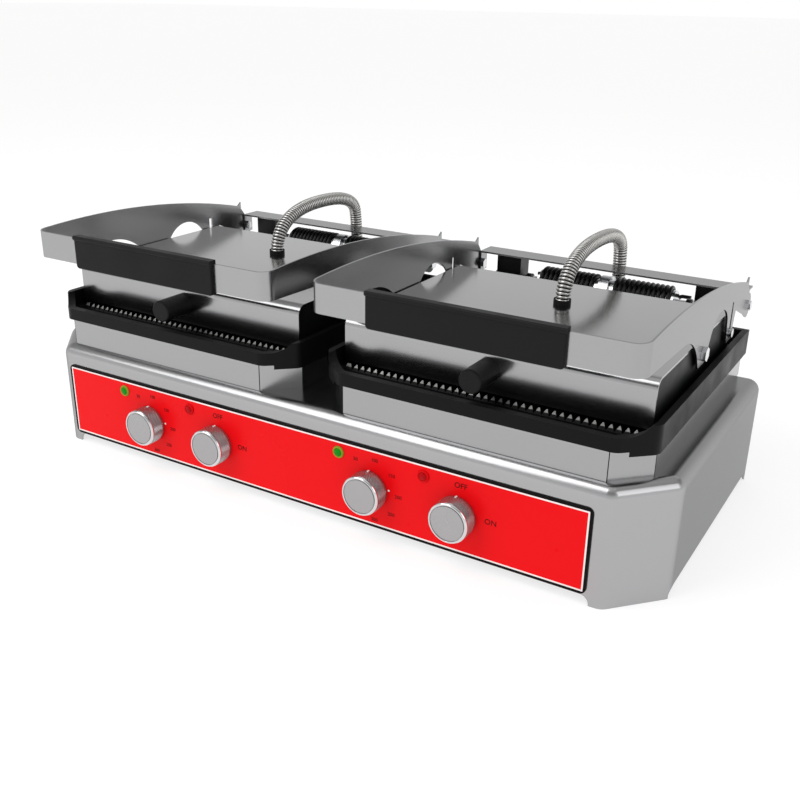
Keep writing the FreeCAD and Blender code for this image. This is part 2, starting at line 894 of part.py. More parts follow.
def make_heater(label, side, up):
    """Tubular heating element bent into three runs, with both ends to the back."""
    body = new_body(label)
    spine = new_sketch(body, "XY_Plane", up)
    bend = s.heater_bend_radius
    front = s.heater_front
    back = front + s.heater_run
    stations = [
        (-bend * 3, back + bend),
        (-bend * 3, front, bend),
        (-bend * 2, front - bend, bend),
        (-bend, front),
        (-bend, back, -bend),
        (ZERO, back + bend, -bend),
        (bend, back),
        (bend, front, bend),
        (bend * 2, front - bend, bend),
        (bend * 3, front),
        (bend * 3, back + bend),
    ]
    edges = []
    for here, after in zip(stations, stations[1:]):
        ends = [FreeCAD.Vector(point[0].value, point[1].value, 0) for point in (here, after)]
        edges.append(add_edge(spine, ends[0], ends[1], here[2] if len(here) > 2 else None))
    for (edge, _, last), (after, after_first, _) in zip(edges, edges[1:]):
        spine.addConstraint(Sketcher.Constraint("Coincident", edge, last, after, after_first))
    for (edge, first, _), station in zip(edges, stations):
        tie(spine, "DistanceX", edge, first, station[0])
        tie(spine, "DistanceY", edge, first, station[1])
    tie(spine, "DistanceX", edges[-1][0], edges[-1][2], stations[-1][0])
    tie(spine, "DistanceY", edges[-1][0], edges[-1][2], stations[-1][1])
    section = new_sketch(body, "XZ_Plane", -(back + bend))
    ring(section, -bend * 3, up, s.heater_radius)
    tube = body.newObject("PartDesign::AdditivePipe", label + "_tube")
    tube.Profile = section
    tube.Spine = spine
    keep(body, label, grill_x(side))


# The hinge


def make_hinge(name, side):
    """Brackets on the rear wall, the shaft they carry, and the turned barrel under the springs."""
    centre = grill_x(side)
    head = s.bracket_head_radius
    inner = s.bracket_spacing * HALF - s.bracket_sheet * HALF
    foot_top = s.bracket_foot_bottom + s.bracket_foot_height
    body = new_body(name + "_hinge_bracket")
    pad_across(body, inner, s.bracket_sheet, [
        (s.base_depth, s.bracket_foot_bottom),
        (s.base_depth + s.bracket_web_depth, s.bracket_foot_bottom),
        (hinge_y + head, s.hinge_height - head),
        (hinge_y + head, s.hinge_height, head),
        (hinge_y, s.hinge_height + head, head),
        (hinge_y - head, s.hinge_height),
        (s.base_depth, foot_top),
    ], [(hinge_y, s.hinge_height, s.shaft_radius + s.running_fit)])
    bolt_x = inner + s.bracket_sheet + (s.bracket_foot_width - s.bracket_sheet) * HALF
    bolt_z = s.bracket_foot_bottom + s.bracket_foot_height * HALF
    half_gap = s.bracket_bolt_spacing * HALF
    bolt_hole = s.bracket_bolt_radius + s.running_fit
    outline = [
        (inner, s.bracket_foot_bottom),
        (inner + s.bracket_foot_width, s.bracket_foot_bottom),
        (inner + s.bracket_foot_width, foot_top),
        (inner, foot_top),
    ]
    pad_back(body, s.base_depth, s.bracket_flange, outline, [
        (bolt_x, bolt_z - half_gap, bolt_hole),
        (bolt_x, bolt_z + half_gap, bolt_hole),
    ])
    label = name + "_hinge_brackets"
    keep(group(label, [body, mirrored(body)]), label, centre)
    label = name + "_hinge_shaft"
    low = -(s.shaft_length * HALF)
    shaft = cylinder(label + "_rod", s.shaft_radius, s.shaft_length, ACROSS, low, hinge_y, s.hinge_height)
    keep(group(label, [shaft]), label, centre)
    label = name + "_spring_barrel"
    axis = (hinge_y, s.hinge_height)
    low = -(s.barrel_length * HALF)
    sleeve = cylinder(label + "_sleeve", s.barrel_radius, s.barrel_length, ACROSS, low, *axis)
    edge = -(s.collar_width * HALF)
    collar = cylinder(label + "_collar", s.collar_radius, s.collar_width, ACROSS, edge, *axis)
    bore_radius = s.shaft_radius + s.running_fit
    bore_length = s.barrel_length + s.overrun * 2
    bore = cylinder(label + "_bore", bore_radius, bore_length, ACROSS, low - s.overrun, *axis)
    keep(cut(label, fuse(label + "_solid", [sleeve, collar]), bore), label, centre)


def make_bracket_bolts():
    """Hexagon-head bolts of all the hinge brackets."""
    bolts = []
    bolt_x = (s.bracket_spacing + s.bracket_sheet) * HALF + (s.bracket_foot_width - s.bracket_sheet) * HALF
    bolt_z = s.bracket_foot_bottom + s.bracket_foot_height * HALF
    seat = s.base_depth + s.bracket_flange
    for name, side in SIDES:
        for hand in (-1, 1):
            for rise in (-HALF, HALF):
                across = grill_x(side) + bolt_x * hand
                up = bolt_z + s.bracket_bolt_spacing * rise
                size = (s.bracket_bolt_radius, s.bracket_flange)
                shank = cylinder("bracket_bolt", *size, ALONG, across, s.base_depth, up)
                size = (s.bracket_bolt_head, s.bracket_bolt_cap)
                cap = hexagon("bracket_cap", *size, ALONG, across, seat, up)
                bolts.append(fuse("bracket_screw", [shank, cap]))
    keep(group("bracket_bolts", bolts), "bracket_bolts")


def biarc(start, start_way, end, end_way):
    """Two arcs, tangent to each other and to the two given directions."""
    span = end - start
    ways = start_way + end_way
    spread = 2 * (1 - start_way.dot(end_way))
    reach = (math.sqrt(span.dot(ways) ** 2 + spread * span.dot(span)) - span.dot(ways)) / spread
    first_corner = start + start_way * reach
    last_corner = end - end_way * reach
    joint = (first_corner + last_corner) * HALF
    return [bow(start, first_corner, joint), bow(joint, last_corner, end)]


def bow(start, corner, end):
    """The arc from start to end whose end tangents meet in a corner."""
    chord_middle = (start + end) * HALF
    half_chord = (end - start).Length * HALF
    tangent = (corner - start).Length
    angle = math.acos(min(half_chord / tangent, 1))
    apex = chord_middle + (corner - chord_middle).normalize() * (half_chord * math.tan(angle * HALF))
    return Part.Arc(start, apex, end).toShape()


def make_spring_shape(hand):
    """Torsion spring round the barrel, its two ends bent to run along the shaft."""
    turns = int(s.spring_turns.value)
    radius = s.spring_radius.value
    length = s.spring_pitch.value * turns
    steps = turns * QUARTERS_PER_TURN
    centre = FreeCAD.Vector(0, hinge_y.value, s.hinge_height.value)
    way = FreeCAD.Vector(hand, 0, 0)

    def coil(step):
        angle = 2 * math.pi * step / QUARTERS_PER_TURN
        out = FreeCAD.Vector(0, math.cos(angle), math.sin(angle))
        along = FreeCAD.Vector(0, -math.sin(angle), math.cos(angle))
        advance = s.spring_start.value + length * step / steps
        slope = length / (2 * math.pi * radius * turns)
        point = centre + way * advance + out * radius
        return point, (along + way * slope).normalize(), along

    bend = s.spring_leg_bend.value
    first, first_way, first_along = coil(0)
    last, last_way, last_along = coil(steps)
    leg_start = first - first_along * bend - way * bend
    leg_end = last + last_along * bend + way * bend
    collar_face = s.collar_width.value * HALF + s.seat_gap.value
    ear_face = (s.bracket_spacing - s.bracket_sheet).value * HALF - s.seat_gap.value
    foot = FreeCAD.Vector(hand * collar_face, leg_start.y, leg_start.z)
    tip = FreeCAD.Vector(hand * ear_face, leg_end.y, leg_end.z)
    edges = [Part.makeLine(foot, leg_start)] + biarc(leg_start, way, first, first_way)
    for step in range(steps):
        here, here_way, _ = coil(step)
        after, after_way, _ = coil(step + 1)
        edges += biarc(here, here_way, after, after_way)
    edges += biarc(last, last_way, leg_end, way)
    edges.append(Part.makeLine(leg_end, tip))
    path = Part.Wire(edges)
    section = Part.Wire(Part.makeCircle(s.spring_wire_radius.value, foot, way))
    wire = path.makePipeShell([section], True, False)
    share = wire.Volume / (math.pi * s.spring_wire_radius.value ** 2 * path.Length)
    print("spring: least gap between curls %.2f mm, volume share %.4f" % (least_gap(path), share))
    return wire


def least_gap(path):
    """Smallest clear space between neighbouring curls, measured on points of the wire's path."""
    turns = int(s.spring_turns.value)
    points = path.discretize(Number=turns * POINTS_PER_TURN)
    pairs = ((a, b) for i, a in enumerate(points) for b in points[i + POINTS_PER_TURN // 2:])
    return min((a - b).Length for a, b in pairs) - 2 * s.spring_wire_radius.value


def make_springs(name, side):
    """The two torsion springs of one lid, on either side of the barrel's collar."""
    label = name + "_hinge_springs"
    coils = doc.addObject("Part::Feature", label)
    coils.Shape = Part.makeCompound([make_spring_shape(-1), make_spring_shape(1)])
    keep(coils, label, grill_x(side))


# The lid frame


def lid_profile():
    """Side outline of the lid frame, from the foot of the front bar round the top to the hinge end."""
    pivot_low = s.pivot_height - s.pivot_tab_radius
    arch_front = s.pivot_back - s.front_arch_reach
    tab_front = s.frame_back
    tab_back = tab_front + s.tab_width
    tab_top = s.frame_back_height + s.tab_rise
    lobe_y = s.strip_bolt_back
    lobe_z = s.strip_bolt_height
    lobe = s.lobe_radius
    middle_foot = s.frame_back_height - s.middle_arch_drop
    rear_foot = s.frame_back_height - s.rear_arch_drop
    stop_low = s.stop_screw_height - s.stop_tab_reach
    stop_front = s.stop_tab_back - s.stop_tab_half
    stop_back = s.stop_tab_back + s.stop_tab_half
    return [
        (s.frame_front, s.bar_bottom),
        (arch_front, s.bar_bottom - s.front_arch_drop, -s.front_arch_radius),
        (s.pivot_back - s.pivot_tab_radius, pivot_low),
        (s.pivot_back + s.pivot_tab_radius, pivot_low),
        (s.middle_arch_front, middle_foot, -s.middle_arch_radius),
        (s.middle_arch_back, middle_foot),
        (stop_front, stop_low),
        (stop_back, stop_low),
        (s.rear_arch_front, rear_foot),
        (lobe_y - lobe, lobe_z - lobe * HALF),
        (lobe_y, lobe_z - lobe, lobe),
        (lobe_y + lobe, lobe_z, lobe),
        (lobe_y, lobe_z + lobe),
        (tab_back, tab_top - s.tab_rise * 2),
        (tab_back, tab_top),
        (tab_front, s.frame_back_height, s.frame_top_radius),
        (s.frame_front, bar_top),
    ]


def make_lid_frame(name, side):
    """One bent steel band: front bar and two side plates with arches, pivot tabs and stop slots."""
    label = name + "_lid_frame"
    past_back = s.strip_bolt_back + s.lobe_radius + s.overrun
    low = s.stop_screw_height - s.stop_tab_reach - s.overrun
    height = s.frame_back_height + bar_top - low
    inner = frame_half - s.frame_sheet
    inner_front = s.frame_front + s.frame_sheet
    bend = s.frame_corner_radius
    inner_bend = s.frame_corner_radius - s.frame_sheet
    band = new_body(label + "_band")
    pad_up(band, low, height, [
        (-frame_half + bend, s.frame_front),
        (frame_half - bend, s.frame_front, bend),
        (frame_half, s.frame_front + bend),
        (frame_half, past_back),
        (inner, past_back),
        (inner, inner_front + inner_bend, -inner_bend),
        (inner - inner_bend, inner_front),
        (-inner + inner_bend, inner_front, -inner_bend),
        (-inner, inner_front + inner_bend),
        (-inner, past_back),
        (-frame_half, past_back),
        (-frame_half, s.frame_front + bend, bend),
    ])
    outline = new_body(label + "_outline")
    pad_across(outline, -(frame_half + s.overrun), s.frame_width + s.overrun * 2, lid_profile(), [
        (s.pivot_back, s.pivot_height, s.pivot_radius + s.running_fit),
        (s.strip_bolt_back, s.strip_bolt_height, s.strip_bolt_radius + s.running_fit),
    ])
    half = s.slot_half
    slot_low = s.stop_screw_height - s.slot_below
    slot_high = s.stop_screw_height + s.slot_above
    start = -(frame_half + s.overrun)
    cut_across(outline, start - s.overrun, s.frame_width + s.overrun * 4, [
        (s.stop_tab_back - half, slot_low, half),
        (s.stop_tab_back, slot_low - half, half),
        (s.stop_tab_back + half, slot_low),
        (s.stop_tab_back + half, slot_high),
        (s.stop_tab_back - half, slot_high),
    ])
    frame = doc.addObject("Part::Common", label)
    frame.Base = band
    frame.Tool = outline
    keep(frame, label, grill_x(side))


def make_rear_strip(name, side):
    """Flat strip across the back of the lid, with its ends folded down against the side plates."""
    label = name + "_rear_strip"
    body = new_body(label)
    inner = strip_half - s.strip_sheet
    low = s.strip_top - s.strip_flange_drop
    pad_back(body, s.strip_front, s.strip_depth, [
        (-strip_half, low),
        (-inner, low),
        (-inner, strip_under),
        (inner, strip_under),
        (inner, low),
        (strip_half, low),
        (strip_half, s.strip_top),
        (-strip_half, s.strip_top),
    ])
    flange_back = s.strip_front + s.strip_flange_depth
    strip_back = s.strip_front + s.strip_depth
    start = -(strip_half + s.overrun)
    across = s.frame_width
    cut_across(body, start, across, [
        (flange_back, low - s.overrun),
        (strip_back + s.overrun, low - s.overrun),
        (strip_back + s.overrun, strip_under),
        (flange_back, strip_under),
    ])
    cut_across(body, start, across, holes=[
        (s.strip_bolt_back, s.strip_bolt_height, s.strip_bolt_radius + s.running_fit),
    ])
    keep(body, label, grill_x(side))


def make_strip_bolts(name, side):
    """Bolts that hold the folded ends of the strip to the side plates."""
    label = name + "_strip_bolts"
    where = (s.strip_bolt_back, s.strip_bolt_height)
    nut_x = strip_half - s.strip_sheet - s.strip_bolt_cap
    shank_length = frame_half - nut_x
    shank = cylinder(label + "_shank", s.strip_bolt_radius, shank_length, ACROSS, nut_x, *where)
    nut = hexagon(label + "_nut", s.strip_bolt_head, s.strip_bolt_cap, ACROSS, nut_x, *where)
    cap = hexagon(label + "_cap", s.strip_bolt_head, s.strip_bolt_cap, ACROSS, frame_half, *where)
    bolt = fuse(label + "_bolt", [shank, nut, cap])
    keep(group(label, [bolt, mirrored(bolt)]), label, grill_x(side))


def make_knuckles(name, side):
    """Black hinge blocks under the strip, bored for the shaft."""
    label = name + "_hinge_knuckles"
    body = new_body(label + "_block")
    radius = s.knuckle_radius
    pad_across(body, s.knuckle_inner, s.knuckle_width, [
        (hinge_y - radius, strip_under),
        (hinge_y - radius, s.hinge_height, radius),
        (hinge_y, s.hinge_height - radius, radius),
        (hinge_y + radius, s.hinge_height),
        (hinge_y + radius, strip_under),
    ], [(hinge_y, s.hinge_height, s.shaft_radius + s.running_fit)])
    keep(group(label, [body, mirrored(body)]), label, grill_x(side))


def make_grip(name, side):
    """Black channel pushed down over the front bar."""
    label = name + "_grip"
    body = new_body(label)
    front = s.frame_front - s.close_fit - s.grip_front_wall
    slot_front = s.frame_front - s.close_fit
    slot_back = s.frame_front + s.frame_sheet + s.close_fit
    back = slot_back + s.grip_rear_wall
    top = s.grip_bottom + s.grip_height
    slot_top = bar_top + s.close_fit * 2
    step = pad_across(body, -(s.grip_width * HALF), s.grip_width, [
        (front, s.grip_bottom),
        (slot_front, s.grip_bottom),
        (slot_front, slot_top),
        (slot_back, slot_top),
        (slot_back, s.grip_bottom),
        (back, s.grip_bottom),
        (back, top),
        (front, top, s.grip_bead_radius),
        (front, top - s.grip_bead_height),
    ])
    half = s.grip_width * HALF

    def long_edge(edge, point):
        lower_front = near(point.y, front) and near(point.z, s.grip_bottom)
        return near(point.x, ZERO) and (lower_front or near(point.y, back))

    def low_corner(edge, point):
        return near(abs(point.x), half) and near(point.z, s.grip_bottom)

    step = fillet(body, step, low_corner, s.grip_corner_radius)
    fillet(body, step, long_edge, s.grip_round)
    keep(body, label, grill_x(side))


# The self-levelling upper grill


def make_upper_cover(name, side):
    """Bent stainless cover over the upper casting: front, top and rear in one sheet."""
    label = name + "_upper_cover"
    body = new_body(label)
    wall = s.cover_sheet
    front = s.cover_front
    bend = s.cover_front_radius
    rear_bend = s.cover_rear_radius
    top = s.cover_top
    pad_across(body, -cover_half, s.cover_width, [
        (front, s.cover_bottom),
        (front + wall, s.cover_bottom),
        (front + wall, top - bend, -(bend - wall)),
        (front + bend, top - wall),
        (cover_back - rear_bend, top - wall, -(rear_bend - wall)),
        (cover_back - wall, top - rear_bend),
        (cover_back - wall, s.cover_rear_bottom),
        (cover_back, s.cover_rear_bottom),
        (cover_back, top - rear_bend, rear_bend),
        (cover_back - rear_bend, top),
        (front + bend, top, bend),
        (front, top - bend),
    ])
    hole = new_sketch(body, "XY_Plane", top + s.overrun)
    ring(hole, s.conduit_offset, s.conduit_front, s.wire_hole_radius)
    feature(body, "Pocket", hole, wall + s.overrun * 2)
    keep(body, label, grill_x(side))


def make_upper_plate(name, side):
    """Cast-iron upper plate: ribbed underside, black cheeks at both sides, heater well on top."""
    label = name + "_upper_plate"
    body = new_body(label)
    bend = s.cover_front_radius - s.cover_sheet
    rear_bend = s.cover_rear_radius - s.cover_sheet
    pad_across(body, -casting_half, s.casting_width, [
        (casting_front, s.casting_bottom),
        (casting_back, s.casting_bottom),
        (casting_back, casting_top - rear_bend, rear_bend),
        (casting_back - rear_bend, casting_top),
        (casting_front + bend, casting_top, bend),
        (casting_front, casting_top - bend),
    ])
    well_half = casting_half - s.casting_cheek
    well_floor = s.casting_bottom + s.casting_floor
    cut_down(body, casting_top + s.overrun, casting_top + s.overrun - well_floor, [
        (-well_half, casting_front + s.casting_wall),
        (well_half, casting_front + s.casting_wall),
        (well_half, casting_back - s.casting_wall),
        (-well_half, casting_back - s.casting_wall),
    ])
    past = s.casting_width + s.overrun * 2
    cut_across(body, -(casting_half + s.overrun), past, holes=[
        (s.pivot_back, s.pivot_height, s.pivot_radius + s.running_fit),
        (s.stop_tab_back, s.stop_screw_height, s.stop_screw_radius + s.running_fit),
    ])
    groove_front = casting_front - s.overrun
    groove_depth = casting_back - casting_front + s.overrun * 2
    root = s.casting_bottom + s.upper_rib_rise
    count = s.upper_rib_count
    grooves(body, groove_front, groove_depth, s.casting_bottom, root, s.rib_crest, s.rib_pitch, count)
    keep(body, label, grill_x(side))


def make_upper_fittings(name, side):
    """Tilt handle, pivot bolts, stop screws and the conduit's collar on the cover."""
    centre = grill_x(side)
    label = name + "_tilt_handle"
    body = new_body(label)
    flat = new_sketch(body, "XZ_Plane", -(s.cover_front - s.handle_length))
    ring(flat, ZERO, s.handle_height, s.handle_radius)
    step = feature(body, "Pad", flat, s.handle_length, True)
    tip = s.cover_front - s.handle_length
    fillet(body, step, lambda edge, point: near(point.y, tip), s.handle_round)
    keep(body, label, centre)
    label = name + "_pivot_bolts"
    where = (s.pivot_back, s.pivot_height)
    inner = casting_half - s.casting_cheek
    frame_inner = frame_half - s.frame_sheet - s.close_fit
    outer = frame_half + s.close_fit
    shank = cylinder(label + "_shank", s.pivot_radius, outer - inner, ACROSS, inner, *where)
    shoulder_length = frame_inner - casting_half
    shoulder = cylinder(label + "_shoulder", s.pivot_head, shoulder_length, ACROSS, casting_half, *where)
    cap = hexagon(label + "_cap", s.pivot_head, s.pivot_cap, ACROSS, outer, *where)
    bolt = fuse(label + "_bolt", [shank, shoulder, cap])
    keep(group(label, [bolt, mirrored(bolt)]), label, centre)
    label = name + "_stop_screws"
    where = (s.stop_tab_back, s.stop_screw_height)
    shank = cylinder(label + "_shank", s.stop_screw_radius, outer - inner, ACROSS, inner, *where)
    cap = cylinder(label + "_cap", s.stop_screw_head, s.stop_screw_cap, ACROSS, outer, *where)
    screw = fuse(label + "_screw", [shank, cap])
    keep(group(label, [screw, mirrored(screw)]), label, centre)
    label = name + "_conduit_collar"
    bore_radius = s.conduit_crest_radius + s.seat_gap
    where = (s.conduit_offset, s.conduit_front)
    size = (s.collar_ring_radius, s.collar_ring_height)
    outside = cylinder(label + "_outside", *size, UP, *where, s.cover_top)
    bore_length = s.collar_ring_height + s.overrun * 2
    bore = cylinder(label + "_bore", bore_radius, bore_length, UP, *where, s.cover_top - s.overrun)
    keep(cut(label, outside, bore), label, centre)


# The conduits


def conduit_path():
    """Route of a conduit in its upright plane: up from the cover, over the strip and into the base."""
    bend = s.conduit_bend_radius.value
    foot_bend = s.conduit_foot_radius.value
    front = s.conduit_front.value
    back = s.conduit_back.value
    crown = s.conduit_crown.value
    start = (s.cover_top + s.seat_gap).value
    foot = s.conduit_foot_height.value
    wall = (s.base_depth + s.seat_gap).value
    across = s.conduit_offset.value

    def point(along, up):
        return FreeCAD.Vector(across, along, up)

    corners = [
        point(front, start),
        point(front, crown),
        point(back, crown),
        point(back, foot),
        point(wall, foot),
    ]
    radii = [bend, bend, foot_bend]
    edges = []
    here = corners[0]
    for before, corner, after, radius in zip(corners, corners[1:], corners[2:], radii):
        enter = corner + (before - corner).normalize() * radius
        leave = corner + (after - corner).normalize() * radius
        edges.append(Part.makeLine(here, enter))
        edges.append(bow(enter, corner, leave))
        here = leave
    edges.append(Part.makeLine(here, corners[-1]))
    return Part.Wire(edges)


def stations_on(path, count):
    """Evenly spaced points of a wire, each with its direction."""
    spots = []
    lengths = [edge.Length for edge in path.OrderedEdges]
    for step in range(count + 1):
        left = path.Length * step / count
        for edge, length in zip(path.OrderedEdges, lengths):
            if left <= length or edge.isSame(path.OrderedEdges[-1]):
                spot = edge.getParameterByLength(min(left, length))
                if edge.Orientation == "Reversed":
                    spot = edge.getParameterByLength(max(length - left, 0))
                way = edge.tangentAt(spot)
                spots.append((edge.valueAt(spot), -way if edge.Orientation == "Reversed" else way))
                break
            left -= length
    return spots


def make_conduit(name, side):
    """Ribbed metal hose with an open bore, from the upper cover to the rear wall of the base."""
    label = name + "_conduit"
    path = conduit_path()
    ribs = int(path.Length / s.conduit_rib_pitch.value)
    radii = (s.conduit_root_radius, s.conduit_crest_radius, s.conduit_crest_radius, s.conduit_root_radius)
    count = len(radii)
    spots = stations_on(path, ribs * count)
    sections = []
    for number, (spot, way) in enumerate(spots):
        circle = Part.Circle(FreeCAD.Vector(0, 0, 0), UP, radii[number % count].value)
        frame = FreeCAD.Rotation(ACROSS, FreeCAD.Vector(0, 0, 0), way, "ZXY")
        section = Part.Wire(circle.toShape())
        section.Placement = FreeCAD.Placement(spot, frame)
        sections.append(section)
    outside = Part.makeLoft(sections, True, True)
    bore_section = Part.Wire(Part.makeCircle(s.conduit_bore_radius.value, spots[0][0], spots[0][1]))
    bore = path.makePipeShell([bore_section], True, False)
    hose = doc.addObject("Part::Feature", label)
    hose.Shape = outside.cut(bore)
    print("conduit: %.1f mm long, %d ribs" % (path.Length, ribs))
    keep(hose, label, grill_x(side))


def make_conduit_foot(name, side):
    """Black ring that holds the lower end of a conduit on the rear wall."""
    label = name + "_conduit_foot"
    across = s.conduit_offset
    up = s.conduit_foot_height
    size = (s.foot_ring_radius, s.foot_ring_depth)
    outside = cylinder(label + "_outside", *size, ALONG, across, s.base_depth, up)
    size = (s.conduit_crest_radius + s.seat_gap, s.foot_ring_depth + s.overrun * 2)
    bore = cylinder(label + "_bore", *size, ALONG, across, s.base_depth - s.overrun, up)
    keep(cut(label, outside, bore), label, grill_x(side))


def make_base():
    """Everything that the two grills share."""
    make_base_shell()
    make_bottom_plate()
    make_control_panel()
    make_pilot_lights("green_pilot_lights", thermostat_x)
    make_pilot_lights("red_pilot_lights", switch_x)
    make_inlet()
    make_bracket_bolts()


def make_grill(name, side):
    """One grill with its lid and its controls."""
    make_controls(name, side)
    make_knob(name + "_thermostat_knob", thermostat_x(side))
    make_knob(name + "_switch_knob", switch_x(side))
    make_pedestal(name, side)
    make_lower_plate(name, side)
    make_heater(name + "_lower_heater", side, plate_under - s.heater_radius - s.seat_gap)
    make_hinge(name, side)
    make_springs(name, side)
    make_lid_frame(name, side)
    make_rear_strip(name, side)
    make_strip_bolts(name, side)
    make_knuckles(name, side)
    make_grip(name, side)
    make_upper_cover(name, side)
    make_upper_plate(name, side)
    well_floor = s.casting_bottom + s.casting_floor
    make_heater(name + "_upper_heater", side, well_floor + s.heater_radius + s.seat_gap)
    make_upper_fittings(name, side)
    make_conduit(name, side)
    make_conduit_foot(name, side)


def check_and_write():
    """Stop on any failed object, then write one file for each piece."""
    doc.recompute()
    failed = [item.Name for item in doc.Objects if {"Invalid", "Error"} & set(item.State)]
    if failed:
        raise RuntimeError("failed objects: " + ", ".join(failed))
    for node in NODES:
        if node.Shape.isNull() or not node.Shape.isValid() or not node.Shape.Solids:
            raise RuntimeError("bad shape: " + node.Label)
    os.makedirs("parts", exist_ok=True)
    for node in NODES:
        node.Shape.exportStep("parts/%s.step" % node.Label)
    print("%d pieces" % len(NODES))


make_base()
for side_name, side_sign in SIDES:
    make_grill(side_name, side_sign)
check_and_write()
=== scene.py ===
"""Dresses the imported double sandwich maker: steel, cast iron, printed panel, ribbed conduits and a studio."""
import math

import bmesh
import bpy
from mathutils import Matrix, Vector


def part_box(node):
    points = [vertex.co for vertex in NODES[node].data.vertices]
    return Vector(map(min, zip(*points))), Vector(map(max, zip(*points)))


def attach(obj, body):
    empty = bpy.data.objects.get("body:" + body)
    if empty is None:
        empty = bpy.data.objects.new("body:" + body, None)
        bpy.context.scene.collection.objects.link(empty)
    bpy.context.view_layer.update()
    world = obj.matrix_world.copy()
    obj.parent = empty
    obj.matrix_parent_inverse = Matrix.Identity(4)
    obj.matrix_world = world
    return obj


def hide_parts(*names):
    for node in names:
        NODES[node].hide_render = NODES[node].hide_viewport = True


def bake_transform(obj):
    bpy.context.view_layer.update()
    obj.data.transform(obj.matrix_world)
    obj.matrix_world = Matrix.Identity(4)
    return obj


bl_info = {
    "name": "Double sandwich maker",
    "version": (1, 0, 0),
    "blender": (4, 5, 0),
    "location": "View3D > Sidebar > Grill",
    "description": "Materials, print, conduits and studio for a double contact grill",
    "category": "Object",
}

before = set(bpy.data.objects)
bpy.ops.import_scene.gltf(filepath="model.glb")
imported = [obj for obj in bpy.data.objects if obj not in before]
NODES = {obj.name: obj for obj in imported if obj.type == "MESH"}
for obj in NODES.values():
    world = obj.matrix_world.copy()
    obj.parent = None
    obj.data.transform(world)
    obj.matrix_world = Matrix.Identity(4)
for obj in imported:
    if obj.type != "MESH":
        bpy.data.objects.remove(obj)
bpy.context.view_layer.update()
SIDES = (("left", -1), ("right", 1))
MM = 0.001

# Distance of each grill's middle from the machine's middle
GRILL_X = 0.1914


def linear(code):
    """Linear colour of an sRGB hex value."""
    channels = [int(code[place:place + 2], 16) / 255 for place in (1, 3, 5)]
    return tuple(c / 12.92 if c <= 0.04045 else ((c + 0.055) / 1.055) ** 2.4 for c in channels)


class GrillCamera(bpy.types.PropertyGroup):
    """Where the picture is taken from."""

    place: bpy.props.FloatVectorProperty(
        name="Place", description="Camera position", default=(0.5631, -0.9214, 0.5079), subtype="TRANSLATION")
    yaw: bpy.props.FloatProperty(
        name="Yaw", description="Turn to the left of +Y", default=math.radians(30.96), subtype="ANGLE")
    pitch: bpy.props.FloatProperty(
        name="Pitch", description="Look down", default=math.radians(22.47), subtype="ANGLE")
    roll: bpy.props.FloatProperty(
        name="Roll", description="Lean of the picture", default=math.radians(0.95), subtype="ANGLE")
    lens: bpy.props.FloatProperty(
        name="Lens", description="Focal length on a 36 mm wide sensor", default=43.79,
        subtype="DISTANCE_CAMERA")


class GrillPrint(bpy.types.PropertyGroup):
    """The printed control panel."""

    red: bpy.props.FloatVectorProperty(
        name="Field", description="Panel colour", default=linear("#EE0810"), subtype="COLOR")
    ink: bpy.props.FloatVectorProperty(
        name="Ink", description="Border, figures and words", default=linear("#0B0A0A"), subtype="COLOR")
    line: bpy.props.FloatVectorProperty(
        name="Line", description="Inner line and dots", default=linear("#F8ECEA"), subtype="COLOR")
    border: bpy.props.FloatProperty(
        name="Border", description="Width of the black border", default=2.7 * MM, subtype="DISTANCE")
    stripe: bpy.props.FloatProperty(
        name="Line width", description="Width of the white line", default=1.6 * MM, subtype="DISTANCE")
    corner: bpy.props.FloatProperty(
        name="Corner", description="Corner radius of the panel", default=6.0 * MM, subtype="DISTANCE")
    film: bpy.props.FloatProperty(
        name="Film", description="Thickness of the print", default=0.12 * MM, subtype="DISTANCE")
    word: bpy.props.FloatProperty(
        name="Words", description="Type size of the words", default=8.0 * MM, subtype="DISTANCE")
    figure: bpy.props.FloatProperty(
        name="Figures", description="Type size of the scale's figures", default=5.4 * MM, subtype="DISTANCE")
    scale: bpy.props.FloatProperty(
        name="Scale", description="Radius of the thermostat scale", default=33.5 * MM, subtype="DISTANCE")
    dot: bpy.props.FloatProperty(
        name="Dot", description="Radius of the white dots", default=1.1 * MM, subtype="DISTANCE")


class GrillConduit(bpy.types.PropertyGroup):
    """The ribbed conduits."""

    crest: bpy.props.FloatProperty(
        name="Crest", description="Radius over the ribs", default=8.3 * MM, subtype="DISTANCE")
    root: bpy.props.FloatProperty(
        name="Root", description="Radius between the ribs", default=6.7 * MM, subtype="DISTANCE")
    pitch: bpy.props.FloatProperty(
        name="Pitch", description="Distance from rib to rib", default=3.5 * MM, subtype="DISTANCE")
    rings: bpy.props.IntProperty(
        name="Rings", description="Rings of points in a rib", default=8, min=4)
    sides: bpy.props.IntProperty(
        name="Sides", description="Points round the tube", default=28, min=8)


class GrillMetal(bpy.types.PropertyGroup):
    """Colours of the bare and black metals."""

    steel: bpy.props.FloatVectorProperty(
        name="Steel", description="Satin stainless steel", default=linear("#A6A6A7"), subtype="COLOR")
    iron: bpy.props.FloatVectorProperty(
        name="Iron", description="Black cast iron", default=linear("#0C0C0C"), subtype="COLOR")
    plastic: bpy.props.FloatVectorProperty(
        name="Plastic", description="Black moulded plastic", default=linear("#141414"), subtype="COLOR")


def add_node(tree, kind, settings=None, links=None):
    """Add a node, set its properties and input values, and link its inputs."""
    made = tree.nodes.new(kind)
    for name, value in (settings or {}).items():
        if isinstance(name, int) or name in made.inputs:
            made.inputs[name].default_value = value
        else:
            setattr(made, name, value)
    for name, source in (links or {}).items():
        tree.links.new(source, made.inputs[name])
    return made


